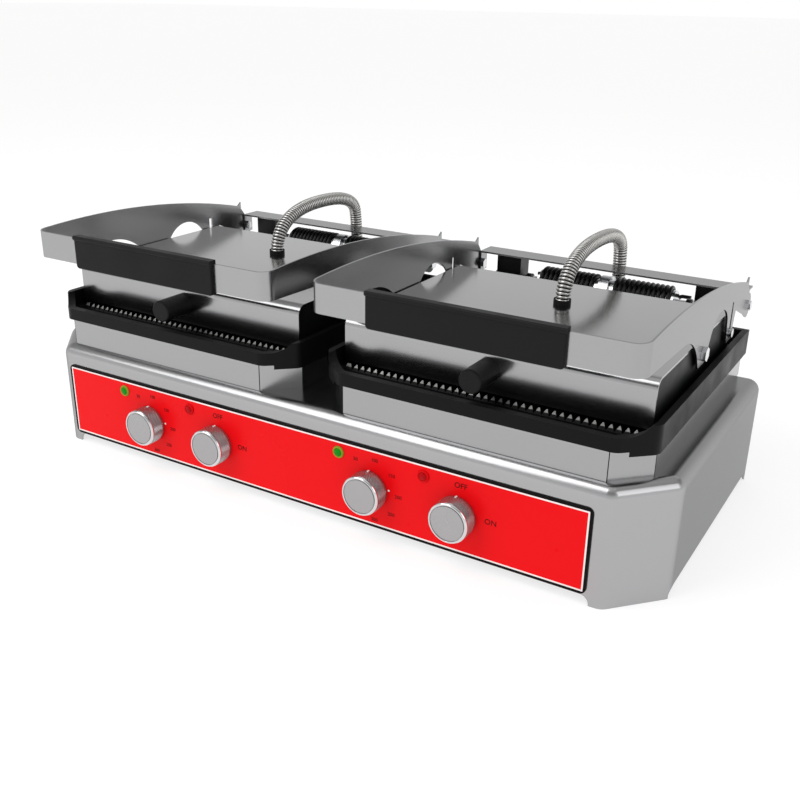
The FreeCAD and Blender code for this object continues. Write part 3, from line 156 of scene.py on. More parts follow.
def new_material(name, settings):
    """A material with one Principled shader; returns it with its tree and shader."""
    made = bpy.data.materials.new(name)
    made.use_nodes = True
    tree = made.node_tree
    tree.nodes.clear()
    shader = add_node(tree, "ShaderNodeBsdfPrincipled", settings)
    output = tree.nodes.new("ShaderNodeOutputMaterial")
    tree.links.new(shader.outputs["BSDF"], output.inputs["Surface"])
    return made, tree, shader


def rgba(colour):
    """A colour with full opacity."""
    return (*colour, 1.0)


def worked(tree, operation, *values):
    """Output of a Math node on sockets and plain numbers."""
    node = add_node(tree, "ShaderNodeMath", {"operation": operation})
    for place, value in enumerate(values):
        if isinstance(value, float):
            node.inputs[place].default_value = value
        else:
            tree.links.new(value, node.inputs[place])
    return node.outputs["Value"]


def noise(tree, vector, scale, detail, roughness=0.5):
    """Output of a noise texture."""
    settings = {"Scale": scale, "Detail": detail, "Roughness": roughness}
    return add_node(tree, "ShaderNodeTexNoise", settings, {"Vector": vector}).outputs["Fac"]


def tinted(tree, share, first, second):
    """Colour between two colours or colour sockets, by a share."""
    node = add_node(tree, "ShaderNodeMix", {"data_type": "RGBA"}, {0: share})
    for place, colour in ((6, first), (7, second)):
        if isinstance(colour, tuple):
            node.inputs[place].default_value = colour
        else:
            tree.links.new(colour, node.inputs[place])
    return node.outputs[2]


# Range of a noise texture that is spread over a gloss
NOISE_RANGE = (0.3, 0.7)


def glossed(tree, shader, marks, rough, spread):
    """Let marks vary a shader's roughness by a spread."""
    settings = {"From Min": NOISE_RANGE[0], "From Max": NOISE_RANGE[1],
                "To Min": rough - spread, "To Max": rough + spread}
    gloss = add_node(tree, "ShaderNodeMapRange", settings, {"Value": marks})
    tree.links.new(gloss.outputs["Result"], shader.inputs["Roughness"])


# Ground steel: waves a metre along and across the grinding, and of the clouds over it
STREAK_ALONG = 30.0
STREAK_ACROSS = 2600.0
STEEL_CLOUDS = 7.0

# Share of the clouds in its marks, spread of its gloss, tone of its darkest marks
CLOUD_SHARE = 0.45
STEEL_SPREAD = 0.02
STREAK_TONE = 0.95

# Sideways part of the normal from which a face is ground along its depth
SIDE_TURN = 0.7


def brushed_steel(name, colour, rough, edge):
    """Stainless sheet, ground lengthways: fine streaks along each face, dimmed to a share seen edgeways."""
    made, tree, shader = new_material(name, {"Metallic": 1.0, "Specular Tint": rgba([edge] * 3)})
    place = tree.nodes.new("ShaderNodeTexCoord").outputs["Object"]
    streaks = []
    for run in ((STREAK_ALONG, STREAK_ACROSS, STREAK_ACROSS), (STREAK_ACROSS, STREAK_ALONG, STREAK_ACROSS)):
        drawn_out = add_node(tree, "ShaderNodeMapping", {"Scale": run}, {"Vector": place})
        streaks.append(noise(tree, drawn_out.outputs["Vector"], scale=1.0, detail=2.0))
    facing = tree.nodes.new("ShaderNodeNewGeometry").outputs["Normal"]
    parts = add_node(tree, "ShaderNodeSeparateXYZ", {}, {"Vector": facing})
    side = worked(tree, "GREATER_THAN", worked(tree, "ABSOLUTE", parts.outputs["X"]), SIDE_TURN)
    streak = add_node(tree, "ShaderNodeMix", {"data_type": "FLOAT"}, {0: side, 2: streaks[0], 3: streaks[1]})
    clouds = noise(tree, place, STEEL_CLOUDS, detail=2.0)
    marks = add_node(tree, "ShaderNodeMix", {"data_type": "FLOAT", 0: CLOUD_SHARE},
                     {2: streak.outputs[0], 3: clouds}).outputs[0]
    glossed(tree, shader, marks, rough, STEEL_SPREAD)
    tone = tinted(tree, marks, rgba(colour), rgba([c * STREAK_TONE for c in colour]))
    tree.links.new(tone, shader.inputs["Base Color"])
    return made


# Grained surfaces: waves a metre of their clouds, height of the grain, roughness of its noise
GRAIN_CLOUDS = 28.0
GRAIN_HEIGHT = 0.3 * MM
GRAIN_NOISE = 0.65


def grained(name, colour, rough, grain, relief, metallic=0.0, spread=0.08, gleam=0.5, mottle=0.2):
    """A cast or moulded surface with a fine even grain, given in millimetres."""
    made, tree, shader = new_material(name, {"Metallic": metallic, "Specular IOR Level": gleam})
    place = tree.nodes.new("ShaderNodeTexCoord").outputs["Object"]
    clouds = noise(tree, place, GRAIN_CLOUDS, detail=3.0)
    glossed(tree, shader, clouds, rough, spread)
    darker = rgba([c * (1 - mottle) for c in colour])
    lighter = rgba([c * (1 + mottle) for c in colour])
    tree.links.new(tinted(tree, clouds, darker, lighter), shader.inputs["Base Color"])
    grit = noise(tree, place, 1.0 / (grain * MM), detail=4.0, roughness=GRAIN_NOISE)
    bump = add_node(tree, "ShaderNodeBump", {"Strength": relief, "Distance": GRAIN_HEIGHT}, {"Height": grit})
    tree.links.new(bump.outputs["Normal"], shader.inputs["Normal"])
    return made


def recoloured(material, share, colour):
    """Lay a colour over a material's own where a share says so; returns the shader."""
    tree = material.node_tree
    shader = next(node for node in tree.nodes if node.type == "BSDF_PRINCIPLED")
    tone = shader.inputs["Base Color"].links[0].from_socket
    tree.links.new(tinted(tree, share, tone, rgba(colour)), shader.inputs["Base Color"])
    return shader


def dress(material, *names):
    """Give CAD nodes a material."""
    for name in names:
        NODES[name].data.materials.clear()
        NODES[name].data.materials.append(material)


def both(*endings):
    """Node names of both grills."""
    return [side + "_" + ending for side, _ in SIDES for ending in endings]


def rounded(low, high, radius, steps=8):
    """Outline of an upright rounded rectangle, anticlockwise from the front."""
    middles = ((high[0] - radius, low[1] + radius), (high[0] - radius, high[1] - radius),
               (low[0] + radius, high[1] - radius), (low[0] + radius, low[1] + radius))
    outline = []
    for quarter, (x, z) in enumerate(middles):
        for step in range(steps + 1):
            angle = (quarter - 1 + step / steps) * math.pi / 2
            outline.append((x + radius * math.cos(angle), z + radius * math.sin(angle)))
    return outline


def circle(x, z, radius, steps=24):
    """Outline of an upright disc, anticlockwise from the front."""
    angles = [2 * math.pi * step / steps for step in range(steps)]
    return [(x + radius * math.cos(angle), z + radius * math.sin(angle)) for angle in angles]


def slab(outline, back, front):
    """Points and faces of an outline pulled forward from back to front."""
    count = len(outline)
    points = [(x, y, z) for y in (back, front) for x, z in outline]
    faces = [tuple(range(count, 2 * count)), tuple(reversed(range(count)))]
    for first in range(count):
        second = (first + 1) % count
        faces.append((first, second, second + count, first + count))
    return points, faces


def hoop(outer, inner, back, front):
    """Points and faces of the strip between two outlines of as many points."""
    count = len(outer)
    points = [(x, y, z) for outline in (outer, inner) for y in (back, front) for x, z in outline]
    faces = []
    for first in range(count):
        second = (first + 1) % count
        corners = [[start * count + place for place in (first, second)] for start in range(4)]
        (a, b), (c, d), (e, f), (g, h) = corners
        faces += [(c, d, h, g), (b, a, e, f), (a, b, d, c), (f, e, g, h)]
    return points, faces


def turned(profile, centres, steps=32):
    """Points and faces of forward facing turnings: (radius, y) from the middle of the front to the back."""
    points, faces = [], []
    for x, z in centres:
        start = len(points)
        points.append((x, profile[0][1], z))
        for radius, y in profile[1:]:
            points += [(px, y, pz) for px, pz in circle(x, z, radius, steps)]
        for step in range(steps):
            follow = (step + 1) % steps
            faces.append((start, start + 1 + step, start + 1 + follow))
            for ring in range(len(profile) - 2):
                near = start + 1 + ring * steps
                far = near + steps
                faces.append((near + step, far + step, far + follow, near + follow))
        last = start + 1 + (len(profile) - 2) * steps
        faces.append(tuple(reversed(range(last, last + steps))))
    return points, faces


def together(*shapes):
    """Points and faces of several shapes in one."""
    points, faces = [], []
    for more_points, more_faces in shapes:
        start = len(points)
        points += more_points
        faces += [tuple(start + corner for corner in face) for face in more_faces]
    return points, faces


def new_mesh(name, points, faces, material, smooth=False):
    """A mesh object from points in metres."""
    data = bpy.data.meshes.new(name)
    data.from_pydata(points, [], faces)
    data.update()
    for face in data.polygons:
        face.use_smooth = smooth
    made = bpy.data.objects.new(name, data)
    bpy.context.scene.collection.objects.link(made)
    data.materials.append(material)
    return made


# Light of the sky against the sine of its height: a pale band at the horizon, a darker one above it
SKY = ((0.0, 1.0), (0.22, 0.86), (0.38, 0.72), (0.6, 0.34), (0.8, 0.42), (1.0, 0.85))

# Soft boxes: name, place, size and power
LAMPS = (
    ("key", (-1.1, -1.5, 2.1), (1.7, 2.2), 30.0),
    ("fill", (2.2, -0.4, 1.3), (1.2, 1.2), 6.0),
    ("back", (0.3, 2.3, 2.3), (2.4, 0.8), 2.5),
)

# Studio paper: half its width, and the light it gives of its own
FLOOR_REACH = 40.0
FLOOR_GLOW = 0.68

# Camera: width of its sensor in millimetres, and how far it sees
SENSOR_WIDTH = 36.0
SIGHT = 200.0


class GRILL_OT_stage(bpy.types.Operator):
    """Pale floor, soft lights, sky and camera"""

    bl_idname = "grill.stage"
    bl_label = "Stage"

    def execute(self, context):
        scene = context.scene
        camera_settings = scene.grill_camera
        camera = bpy.data.objects.new("camera", bpy.data.cameras.new("camera"))
        scene.collection.objects.link(camera)
        camera.data.sensor_fit = "HORIZONTAL"
        camera.data.sensor_width = SENSOR_WIDTH
        camera.data.lens = camera_settings.lens
        camera.data.clip_end = SIGHT
        yaw = camera_settings.yaw
        pitch = camera_settings.pitch
        roll = camera_settings.roll
        ahead = Vector((-math.sin(yaw) * math.cos(pitch), math.cos(yaw) * math.cos(pitch), -math.sin(pitch)))
        across = Vector((math.cos(yaw), math.sin(yaw), 0.0))
        above = across.cross(ahead)
        right = across * math.cos(roll) + above * math.sin(roll)
        up = above * math.cos(roll) - across * math.sin(roll)
        turn = Matrix((right, up, -ahead)).transposed()
        camera.matrix_world = Matrix.Translation(Vector(camera_settings.place)) @ turn.to_4x4()
        scene.camera = camera

        # White paper on which only a faint soft shadow shows
        paper = new_material("white studio paper", {
            "Base Color": rgba(linear("#B4B4B4")), "Roughness": 0.9, "Specular IOR Level": 0.1,
            "Emission Color": rgba(linear("#FFFFFF")), "Emission Strength": FLOOR_GLOW})[0]
        corners = [(x * FLOOR_REACH, y * FLOOR_REACH, 0) for x, y in ((-1, -1), (1, -1), (1, 1), (-1, 1))]
        floor = new_mesh("floor", corners, [(0, 1, 2, 3)], paper)

        world = bpy.data.worlds.new("studio")
        scene.world = world
        world.use_nodes = True
        tree = world.node_tree
        tree.nodes.clear()
        place = tree.nodes.new("ShaderNodeTexCoord")
        parts = add_node(tree, "ShaderNodeSeparateXYZ", {}, {"Vector": place.outputs["Generated"]})
        ramp = add_node(tree, "ShaderNodeValToRGB", {}, {"Fac": parts.outputs["Z"]})
        stops = ramp.color_ramp.elements
        for stop, (height, light) in zip(stops, (SKY[0], SKY[-1])):
            stop.position = height
            stop.color = rgba([light] * 3)
        for height, light in SKY[1:-1]:
            stops.new(height).color = rgba([light] * 3)
        sky = add_node(tree, "ShaderNodeBackground", {"Strength": 1.0}, {"Color": ramp.outputs["Color"]})
        output = tree.nodes.new("ShaderNodeOutputWorld")
        tree.links.new(sky.outputs["Background"], output.inputs["Surface"])

        for name, place, size, power in LAMPS:
            light = bpy.data.lights.new(name, "AREA")
            light.shape = "RECTANGLE"
            light.size, light.size_y = size
            light.energy = power
            lamp = bpy.data.objects.new(name, light)
            scene.collection.objects.link(lamp)
            lamp.location = place
            lamp.rotation_euler = (-Vector(place)).to_track_quat("-Z", "Y").to_euler()
        scene.view_settings.view_transform = "Standard"
        return {"FINISHED"}


# Light of the base's sheet against that of the other sheets
BASE_LIGHT = 1.1

# Painted shade of open seams at a pedestal's front corners: distance from its middle, depth, limit behind it,
# half width
SEAM_ACROSS = 0.1384
SEAM_BACK = -0.1488
SEAM_LIMIT = -0.1
SEAM_HALF = 0.0004


def painted_seam_shade(material):
    """Painted shade: dark lines for open seams where the pedestal's front and sides meet the cut corners."""
    tree = material.node_tree
    place = tree.nodes.new("ShaderNodeTexCoord").outputs["Object"]
    spot = add_node(tree, "ShaderNodeSeparateXYZ", {}, {"Vector": place}).outputs
    from_middle = worked(tree, "SUBTRACT", worked(tree, "ABSOLUTE", spot["X"]), GRILL_X)
    corner = worked(tree, "COMPARE", worked(tree, "ABSOLUTE", from_middle), SEAM_ACROSS, SEAM_HALF)
    front = worked(tree, "MULTIPLY", corner, worked(tree, "LESS_THAN", spot["Y"], SEAM_LIMIT))
    side = worked(tree, "COMPARE", spot["Y"], SEAM_BACK, SEAM_HALF)
    # Painted shade of the open seams, laid over the steel's own colour
    recoloured(material, worked(tree, "MAXIMUM", front, side), linear("#1A1A1A"))


class GRILL_OT_steelwork(bpy.types.Operator):
    """Satin and bright stainless sheet of base, pedestals, lids and covers"""

    bl_idname = "grill.steelwork"
    bl_label = "Steelwork"

    def execute(self, context):
        colour = tuple(context.scene.grill_metal.steel)
        lighter = [c * BASE_LIGHT for c in colour]
        # Pale satin with a broad white band along each fold, dim where it is seen edgeways
        base = brushed_steel("satin stainless steel, base", lighter, rough=0.23, edge=0.55)
        dress(base, "base_shell", "base_bottom_plate")
        # The same satin, crossed by painted shade of open seams at the cut corners
        pedestal = brushed_steel("satin stainless steel, pedestals", colour, rough=0.23, edge=1.0)
        painted_seam_shade(pedestal)
        dress(pedestal, *both("pedestal"))
        # Satin that shows broad light and shade, but no clear mirror image
        lid = brushed_steel("satin stainless steel, lids", colour, rough=0.24, edge=0.8)
        dress(lid, *both("lid_frame", "rear_strip"))
        # Brighter sheet that mirrors the conduit and the grip softly
        cover = brushed_steel("bright stainless steel, covers", colour, rough=0.17, edge=1.0)
        dress(cover, *both("upper_cover"))
        return {"FINISHED"}


# Painted highlight on the slanted rib fronts, grey metal in place of the black enamel: depth, least height,
# lean, share of metal
RIB_FRONTS = (-0.1467, -0.1412)
RIB_FOOT = 0.1561
RIB_LEAN = -0.3
RIB_METAL = 0.8


def painted_rib_highlights(material):
    """Painted highlight: grey metal on the slanted, forward-facing ends of the ribs, which shows as a row of
    bright teeth.
    """
    tree = material.node_tree
    place = tree.nodes.new("ShaderNodeTexCoord").outputs["Object"]
    facing = tree.nodes.new("ShaderNodeNewGeometry").outputs["Normal"]
    spot = add_node(tree, "ShaderNodeSeparateXYZ", {}, {"Vector": place}).outputs
    lean = add_node(tree, "ShaderNodeSeparateXYZ", {}, {"Vector": facing}).outputs
    share = worked(tree, "GREATER_THAN", spot["Y"], RIB_FRONTS[0])
    tests = (("LESS_THAN", spot["Y"], RIB_FRONTS[1]), ("GREATER_THAN", spot["Z"], RIB_FOOT),
             ("LESS_THAN", lean["Y"], RIB_LEAN))
    for kind, source, limit in tests:
        share = worked(tree, "MULTIPLY", share, worked(tree, kind, source, limit))
    # Painted highlight: grey, partly metallic colour on the rib fronts that face forward
    shader = recoloured(material, share, linear("#8E8E8C"))
    tree.links.new(worked(tree, "MULTIPLY", share, RIB_METAL), shader.inputs["Metallic"])


class GRILL_OT_castings(bpy.types.Operator):
    """Black cast iron of the grill plates"""

    bl_idname = "grill.castings"
    bl_label = "Grill plates"

    def execute(self, context):
        colour = tuple(context.scene.grill_metal.iron)
        finish = {"rough": 0.42, "grain": 0.9, "relief": 0.12, "gleam": 0.12}
        # Deep black with a dull, finely pitted skin
        iron = grained("black enamelled cast iron", colour, **finish)
        dress(iron, *both("upper_plate"))
        # The same black, with a painted highlight on a row of teeth in front
        highlighted_iron = grained("black enamelled cast iron, ribs worn in front", colour, **finish)
        painted_rib_highlights(highlighted_iron)
        dress(highlighted_iron, *both("lower_plate"))
        return {"FINISHED"}


class GRILL_OT_grips(bpy.types.Operator):
    """Black plastic of the grips, tilt handles and conduit rings"""

    bl_idname = "grill.grips"
    bl_label = "Grips and handles"

    def execute(self, context):
        colour = tuple(context.scene.grill_metal.plastic)
        # Even matt black, a little lighter than the iron
        plastic = grained("black moulded plastic", colour, rough=0.5, grain=0.5, relief=0.1, gleam=0.15)
        dress(plastic, "cable_gland", *both("grip", "tilt_handle", "conduit_collar", "conduit_foot"))
        return {"FINISHED"}


class GRILL_OT_hinges(bpy.types.Operator):
    """Black springs, brackets and knuckles, bright shafts, barrels and bolts"""

    bl_idname = "grill.hinges"
    bl_label = "Hinges and bolts"

    def execute(self, context):
        # Black with a narrow metal glint along each coil and edge
        black = grained("black oxide steel", linear("#101010"), rough=0.34, grain=0.6, relief=0.05,
                        metallic=0.5)
        dress(black, *both("hinge_springs", "hinge_knuckles", "hinge_brackets"))
        # Small bright points of light
        bright = grained("bright zinc plated steel", linear("#DCDDDF"), rough=0.2, grain=0.5, relief=0.03,
                         metallic=1.0, spread=0.05)
        dress(bright, "bracket_bolts", *both("hinge_shaft", "spring_barrel", "strip_bolts", "pivot_bolts",
                                             "stop_screws"))
        return {"FINISHED"}


class GRILL_OT_inner(bpy.types.Operator):
    """Heaters, thermostats, switches and terminal block inside the machine"""

    bl_idname = "grill.inner"
    bl_label = "Inner parts"

    def execute(self, context):
        # Dark, burnt metal
        sheath = grained("heater sheath", linear("#4A4644"), rough=0.45, grain=0.8, relief=0.08,
                         metallic=0.7)
        dress(sheath, *both("lower_heater", "upper_heater"))
        # Dull brown black
        moulding = grained("dark phenolic moulding", linear("#2B2623"), rough=0.5, grain=0.6, relief=0.06)
        dress(moulding, *both("thermostat", "power_switch"))
        # Cream white with a soft shine
        pale = grained("pale nylon moulding", linear("#D9D3C4"), rough=0.45, grain=0.6, relief=0.05)
        dress(pale, "terminal_block")
        return {"FINISHED"}


# Route of a conduit: from the cover up, over the rear strip, down behind it and into the base
CONDUIT_ROUTE = (
    (0.0244, 0.2110), (0.0264, 0.2585), (0.1954, 0.2605),
    (0.2054, 0.2050), (0.2054, 0.0750), (0.1577, 0.0750))

# Distance of a conduit from its grill's middle, to the right, and steps of its line between two points
CONDUIT_OFFSET = 0.004
CONDUIT_STEPS = 32

# Ribs inside the ring on the cover, and the share they are slimmer, which leaves room for the tilt
NECK_RIBS = 2.0
NECK_SLIM = 0.07


def plain(made):
    """A plain mesh of an object as it is evaluated."""
    graph = bpy.context.evaluated_depsgraph_get()
    return bpy.data.meshes.new_from_object(made.evaluated_get(graph))


# Conduit steel: tones from groove to crest, the dark groove tone being painted shade, waves a metre of its
# smears, range of its gloss
CONDUIT_TONES = ((0.45, "#1C1B1A"), (0.85, "#C9C8C5"))
CONDUIT_SMEARS = 160.0
CONDUIT_GLOSS = (0.2, 0.34)

# Power that makes a rib's flanks steep and its crest flat
RIB_POWER = 2.6


def conduit_metal():
    """Bright strip-wound steel, darkened between the ribs by painted shade."""
    made, tree, shader = new_material("bright strip-wound steel", {"Metallic": 1.0})
    rib = add_node(tree, "ShaderNodeAttribute", {"attribute_name": "rib"})
    # Painted shade: dark in the grooves, bright on the crests
    tone = add_node(tree, "ShaderNodeValToRGB", {}, {"Fac": rib.outputs["Fac"]})
    for stop, (position, code) in zip(tone.color_ramp.elements, CONDUIT_TONES):
        stop.position = position
        stop.color = rgba(linear(code))
    tree.links.new(tone.outputs["Color"], shader.inputs["Base Color"])
    place = tree.nodes.new("ShaderNodeTexCoord").outputs["Object"]
    smears = noise(tree, place, CONDUIT_SMEARS, detail=3.0)
    gloss = add_node(tree, "ShaderNodeMapRange", {"To Min": CONDUIT_GLOSS[0], "To Max": CONDUIT_GLOSS[1]},
                     {"Value": smears})
    tree.links.new(gloss.outputs["Result"], shader.inputs["Roughness"])
    return made


def conduit_tree(material):
    """Nodes that make a ribbed tube along a line."""
    tree = bpy.data.node_groups.new("Ribbed conduit", "GeometryNodeTree")
    sockets = (("Line", "Geometry"), ("Crest", "Float"), ("Root", "Float"), ("Pitch", "Float"),
               ("Rings", "Int"), ("Sides", "Int"))
    for name, kind in sockets:
        tree.interface.new_socket(name, in_out="INPUT", socket_type="NodeSocket" + kind)
    tree.interface.new_socket("Tube", in_out="OUTPUT", socket_type="NodeSocketGeometry")
    given = tree.nodes.new("NodeGroupInput").outputs
    line = add_node(tree, "GeometryNodeMeshToCurve", {}, {"Mesh": given["Line"]}).outputs["Curve"]
    length = add_node(tree, "GeometryNodeCurveLength", {}, {"Curve": line}).outputs["Length"]
    ribs = worked(tree, "ROUND", worked(tree, "DIVIDE", length, given["Pitch"]))
    count = worked(tree, "MULTIPLY_ADD", ribs, given["Rings"], 1.0)
    even = add_node(tree, "GeometryNodeResampleCurve", {}, {"Curve": line, "Count": count}).outputs["Curve"]
    number = tree.nodes.new("GeometryNodeInputIndex").outputs["Index"]
    part = worked(tree, "FRACT", worked(tree, "DIVIDE", number, given["Rings"]))
    away = worked(tree, "ABSOLUTE", worked(tree, "MULTIPLY_ADD", part, 2.0, -1.0))
    height = worked(tree, "SUBTRACT", 1.0, worked(tree, "POWER", away, RIB_POWER))
    radius = add_node(tree, "ShaderNodeMapRange", {},
                      {"Value": height, "To Min": given["Root"], "To Max": given["Crest"]})
    inside = worked(tree, "LESS_THAN", number, worked(tree, "MULTIPLY", given["Rings"], NECK_RIBS))
    slim = worked(tree, "MULTIPLY_ADD", inside, -NECK_SLIM, 1.0)
    fitted = worked(tree, "MULTIPLY", radius.outputs["Result"], slim)
    noted = add_node(tree, "GeometryNodeStoreNamedAttribute",
                     {"data_type": "FLOAT", "domain": "POINT", "Name": "rib"},
                     {"Geometry": even, "Value": height})
    section = add_node(tree, "GeometryNodeCurvePrimitiveCircle", {"Radius": 1.0},
                       {"Resolution": given["Sides"]})
    tube = add_node(tree, "GeometryNodeCurveToMesh", {"Fill Caps": True},
                    {"Curve": noted.outputs["Geometry"], "Profile Curve": section.outputs["Curve"],
                     "Scale": fitted})
    smooth = add_node(tree, "GeometryNodeSetShadeSmooth", {}, {"Geometry": tube.outputs["Mesh"]})
    real = add_node(tree, "GeometryNodeRealizeInstances", {}, {"Geometry": smooth.outputs["Geometry"]})
    done = add_node(tree, "GeometryNodeSetMaterial", {"Material": material},
                    {"Geometry": real.outputs["Geometry"]})
    result = tree.nodes.new("NodeGroupOutput")
    tree.links.new(done.outputs["Geometry"], result.inputs["Tube"])
    return tree


class GRILL_OT_conduits(bpy.types.Operator):
    """Ribbed steel conduits from the covers to the base"""

    bl_idname = "grill.conduits"
    bl_label = "Conduits"

    def execute(self, context):
        settings = context.scene.grill_conduit
        tree = conduit_tree(conduit_metal())
        for side, sign in SIDES:
            across = sign * GRILL_X + CONDUIT_OFFSET
            curve = bpy.data.curves.new(side + "_conduit_line", "CURVE")
            curve.dimensions = "3D"
            curve.resolution_u = CONDUIT_STEPS
            spline = curve.splines.new("NURBS")
            spline.points.add(len(CONDUIT_ROUTE) - 1)
            for point, (y, z) in zip(spline.points, CONDUIT_ROUTE):
                point.co = (across, y, z, 1.0)
            spline.order_u = 3
            spline.use_endpoint_u = True
            line = bpy.data.objects.new(curve.name, curve)
            context.scene.collection.objects.link(line)
            guide = bpy.data.objects.new(side + "_conduit_guide", plain(line))
            context.scene.collection.objects.link(guide)
            ribs = guide.modifiers.new("Ribs", "NODES")
            ribs.node_group = tree
            sizes = {"Crest": settings.crest, "Root": settings.root, "Pitch": settings.pitch,
                     "Rings": settings.rings, "Sides": settings.sides}
            for socket in tree.interface.items_tree:
                if socket.name in sizes:
                    ribs[socket.identifier] = sizes[socket.name]
            piece = bpy.data.objects.new(side + "_ribbed_conduit", plain(guide))
            context.scene.collection.objects.link(piece)
            bpy.data.objects.remove(guide)
            bpy.data.objects.remove(line)
            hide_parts(side + "_conduit")
            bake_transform(piece)
        return {"FINISHED"}


# Words by a switch knob, with their places from its middle
SWITCH_WORDS = (("OFF", 0.0034, 0.0320), ("ON", 0.0360, 0.0027))

# Steps of a letter's curves
LETTER_STEPS = 3

# Figures round a thermostat knob, clockwise, and the white dot where it rests
SCALE_FIGURES = ("50", "100", "150", "200", "250", "300")
SCALE_START = math.radians(-30.0)
SCALE_STEP = math.radians(40.0)
REST_DOT = (0.0226, 0.0045)

# Corner radii of the panel's white line, outside and inside
LINE_CORNERS = (0.8 * MM, 0.4 * MM)

# White mark on a knob's edge: half its width, depth in the edge, height over it, gap to the panel, length
MARK_HALF = 0.00085
MARK_DEPTH = 0.0012
MARK_RISE = 0.00025
MARK_GAP = 0.0012
MARK_LENGTH = 0.0034

# Face of a knob from its middle out: radius and distance behind its foremost edge, in metres
KNOB_FACE = (
    (0.0, 0.0003), (0.0176, 0.0003), (0.0178, 0.0010), (0.0183, 0.0010), (0.0185, 0.0003), (0.0190, 0.0),
    (0.0198, 0.0001), (0.0205, 0.0007), (0.0210, 0.0016), (0.0212, 0.0026))

# Rings of faces that are polished and given a lighter colour as a painted highlight, counted from the middle
POLISHED_RINGS = range(4, 9)

# Knurled side of a knob: radius, depth of a cut, start behind the face, pitch of its rows, rows, points round
KNURL_RADIUS = 0.0212
KNURL_DEPTH = 0.0005
KNURL_FRONT = 0.0032
KNURL_PITCH = 0.0013
KNURL_ROWS = 11
KNURL_STEPS = 112

# Behind the knurls: radius of the knob's foot and of its spindle, gap to the panel
KNOB_FOOT = 0.0206
SPINDLE = 0.003
KNOB_GAP = 0.0006

# Pilot light from its middle out: shares of its radius and of its height over the panel
LENS_PROFILE = ((0.0, 1.0), (0.25, 0.97), (0.45, 0.86), (0.58, 0.7), (0.66, 0.5), (0.66, 0.05))
RIM_PROFILE = ((0.0, 0.3), (0.66, 0.3), (0.68, 0.56), (0.76, 0.66), (0.9, 0.56), (0.98, 0.3), (1.0, -0.03))


def knurled(x, z, face, foot, end):
    """Points and faces of a knob: ringed face, rows of knurls cut by turns, and the spindle behind."""
    rings = [(radius, face + behind, None) for radius, behind in KNOB_FACE[1:]]
    rings += [(KNURL_RADIUS, face + KNURL_FRONT + row * KNURL_PITCH, row % 2) for row in range(KNURL_ROWS)]
    rings += [(KNOB_FOOT, foot, None), (SPINDLE, foot, None), (SPINDLE, end, None)]
    points = [(x, face + KNOB_FACE[0][1], z)]
    for radius, y, cut in rings:
        for step, (across, up) in enumerate(circle(0.0, 0.0, 1.0, KNURL_STEPS)):
            reach = radius - KNURL_DEPTH if step % 2 == cut else radius
            points.append((x + reach * across, y, z + reach * up))
    faces = []
    for step in range(KNURL_STEPS):
        follow = (step + 1) % KNURL_STEPS
        faces.append((0, 1 + step, 1 + follow))
        for ring in range(len(rings) - 1):
            near = 1 + ring * KNURL_STEPS
            far = near + KNURL_STEPS
            faces.append((near + step, far + step, far + follow, near + follow))
    last = 1 + (len(rings) - 1) * KNURL_STEPS
    faces.append(tuple(reversed(range(last, last + KNURL_STEPS))))
    return points, faces


def middle_of(node):
    """Middle of a knob as seen from the front."""
    low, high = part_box(node)
    return (low[0] + high[0]) / 2, (low[2] + high[2]) / 2


def printed(name, words, back, film, material):
    """Words as one thin mesh on the panel: text, place across and up, type size."""
    sheet = bmesh.new()
    for text, x, z, size in words:
        curve = bpy.data.curves.new(name, "FONT")
        curve.body = text
        curve.size = size
        curve.align_x = "CENTER"
        curve.align_y = "CENTER"
        curve.extrude = film / 2
        curve.resolution_u = LETTER_STEPS
        letters = bpy.data.objects.new(name, curve)
        bpy.context.scene.collection.objects.link(letters)
        flat = plain(letters)
        flat.transform(Matrix.Translation((x, back - film / 2, z)) @ Matrix.Rotation(math.pi / 2, 4, "X"))
        sheet.from_mesh(flat)
        bpy.data.objects.remove(letters)
    data = bpy.data.meshes.new(name)
    sheet.to_mesh(data)
    sheet.free()
    data.materials.clear()
    data.materials.append(material)
    made = bpy.data.objects.new(name, data)
    bpy.context.scene.collection.objects.link(made)
    return made


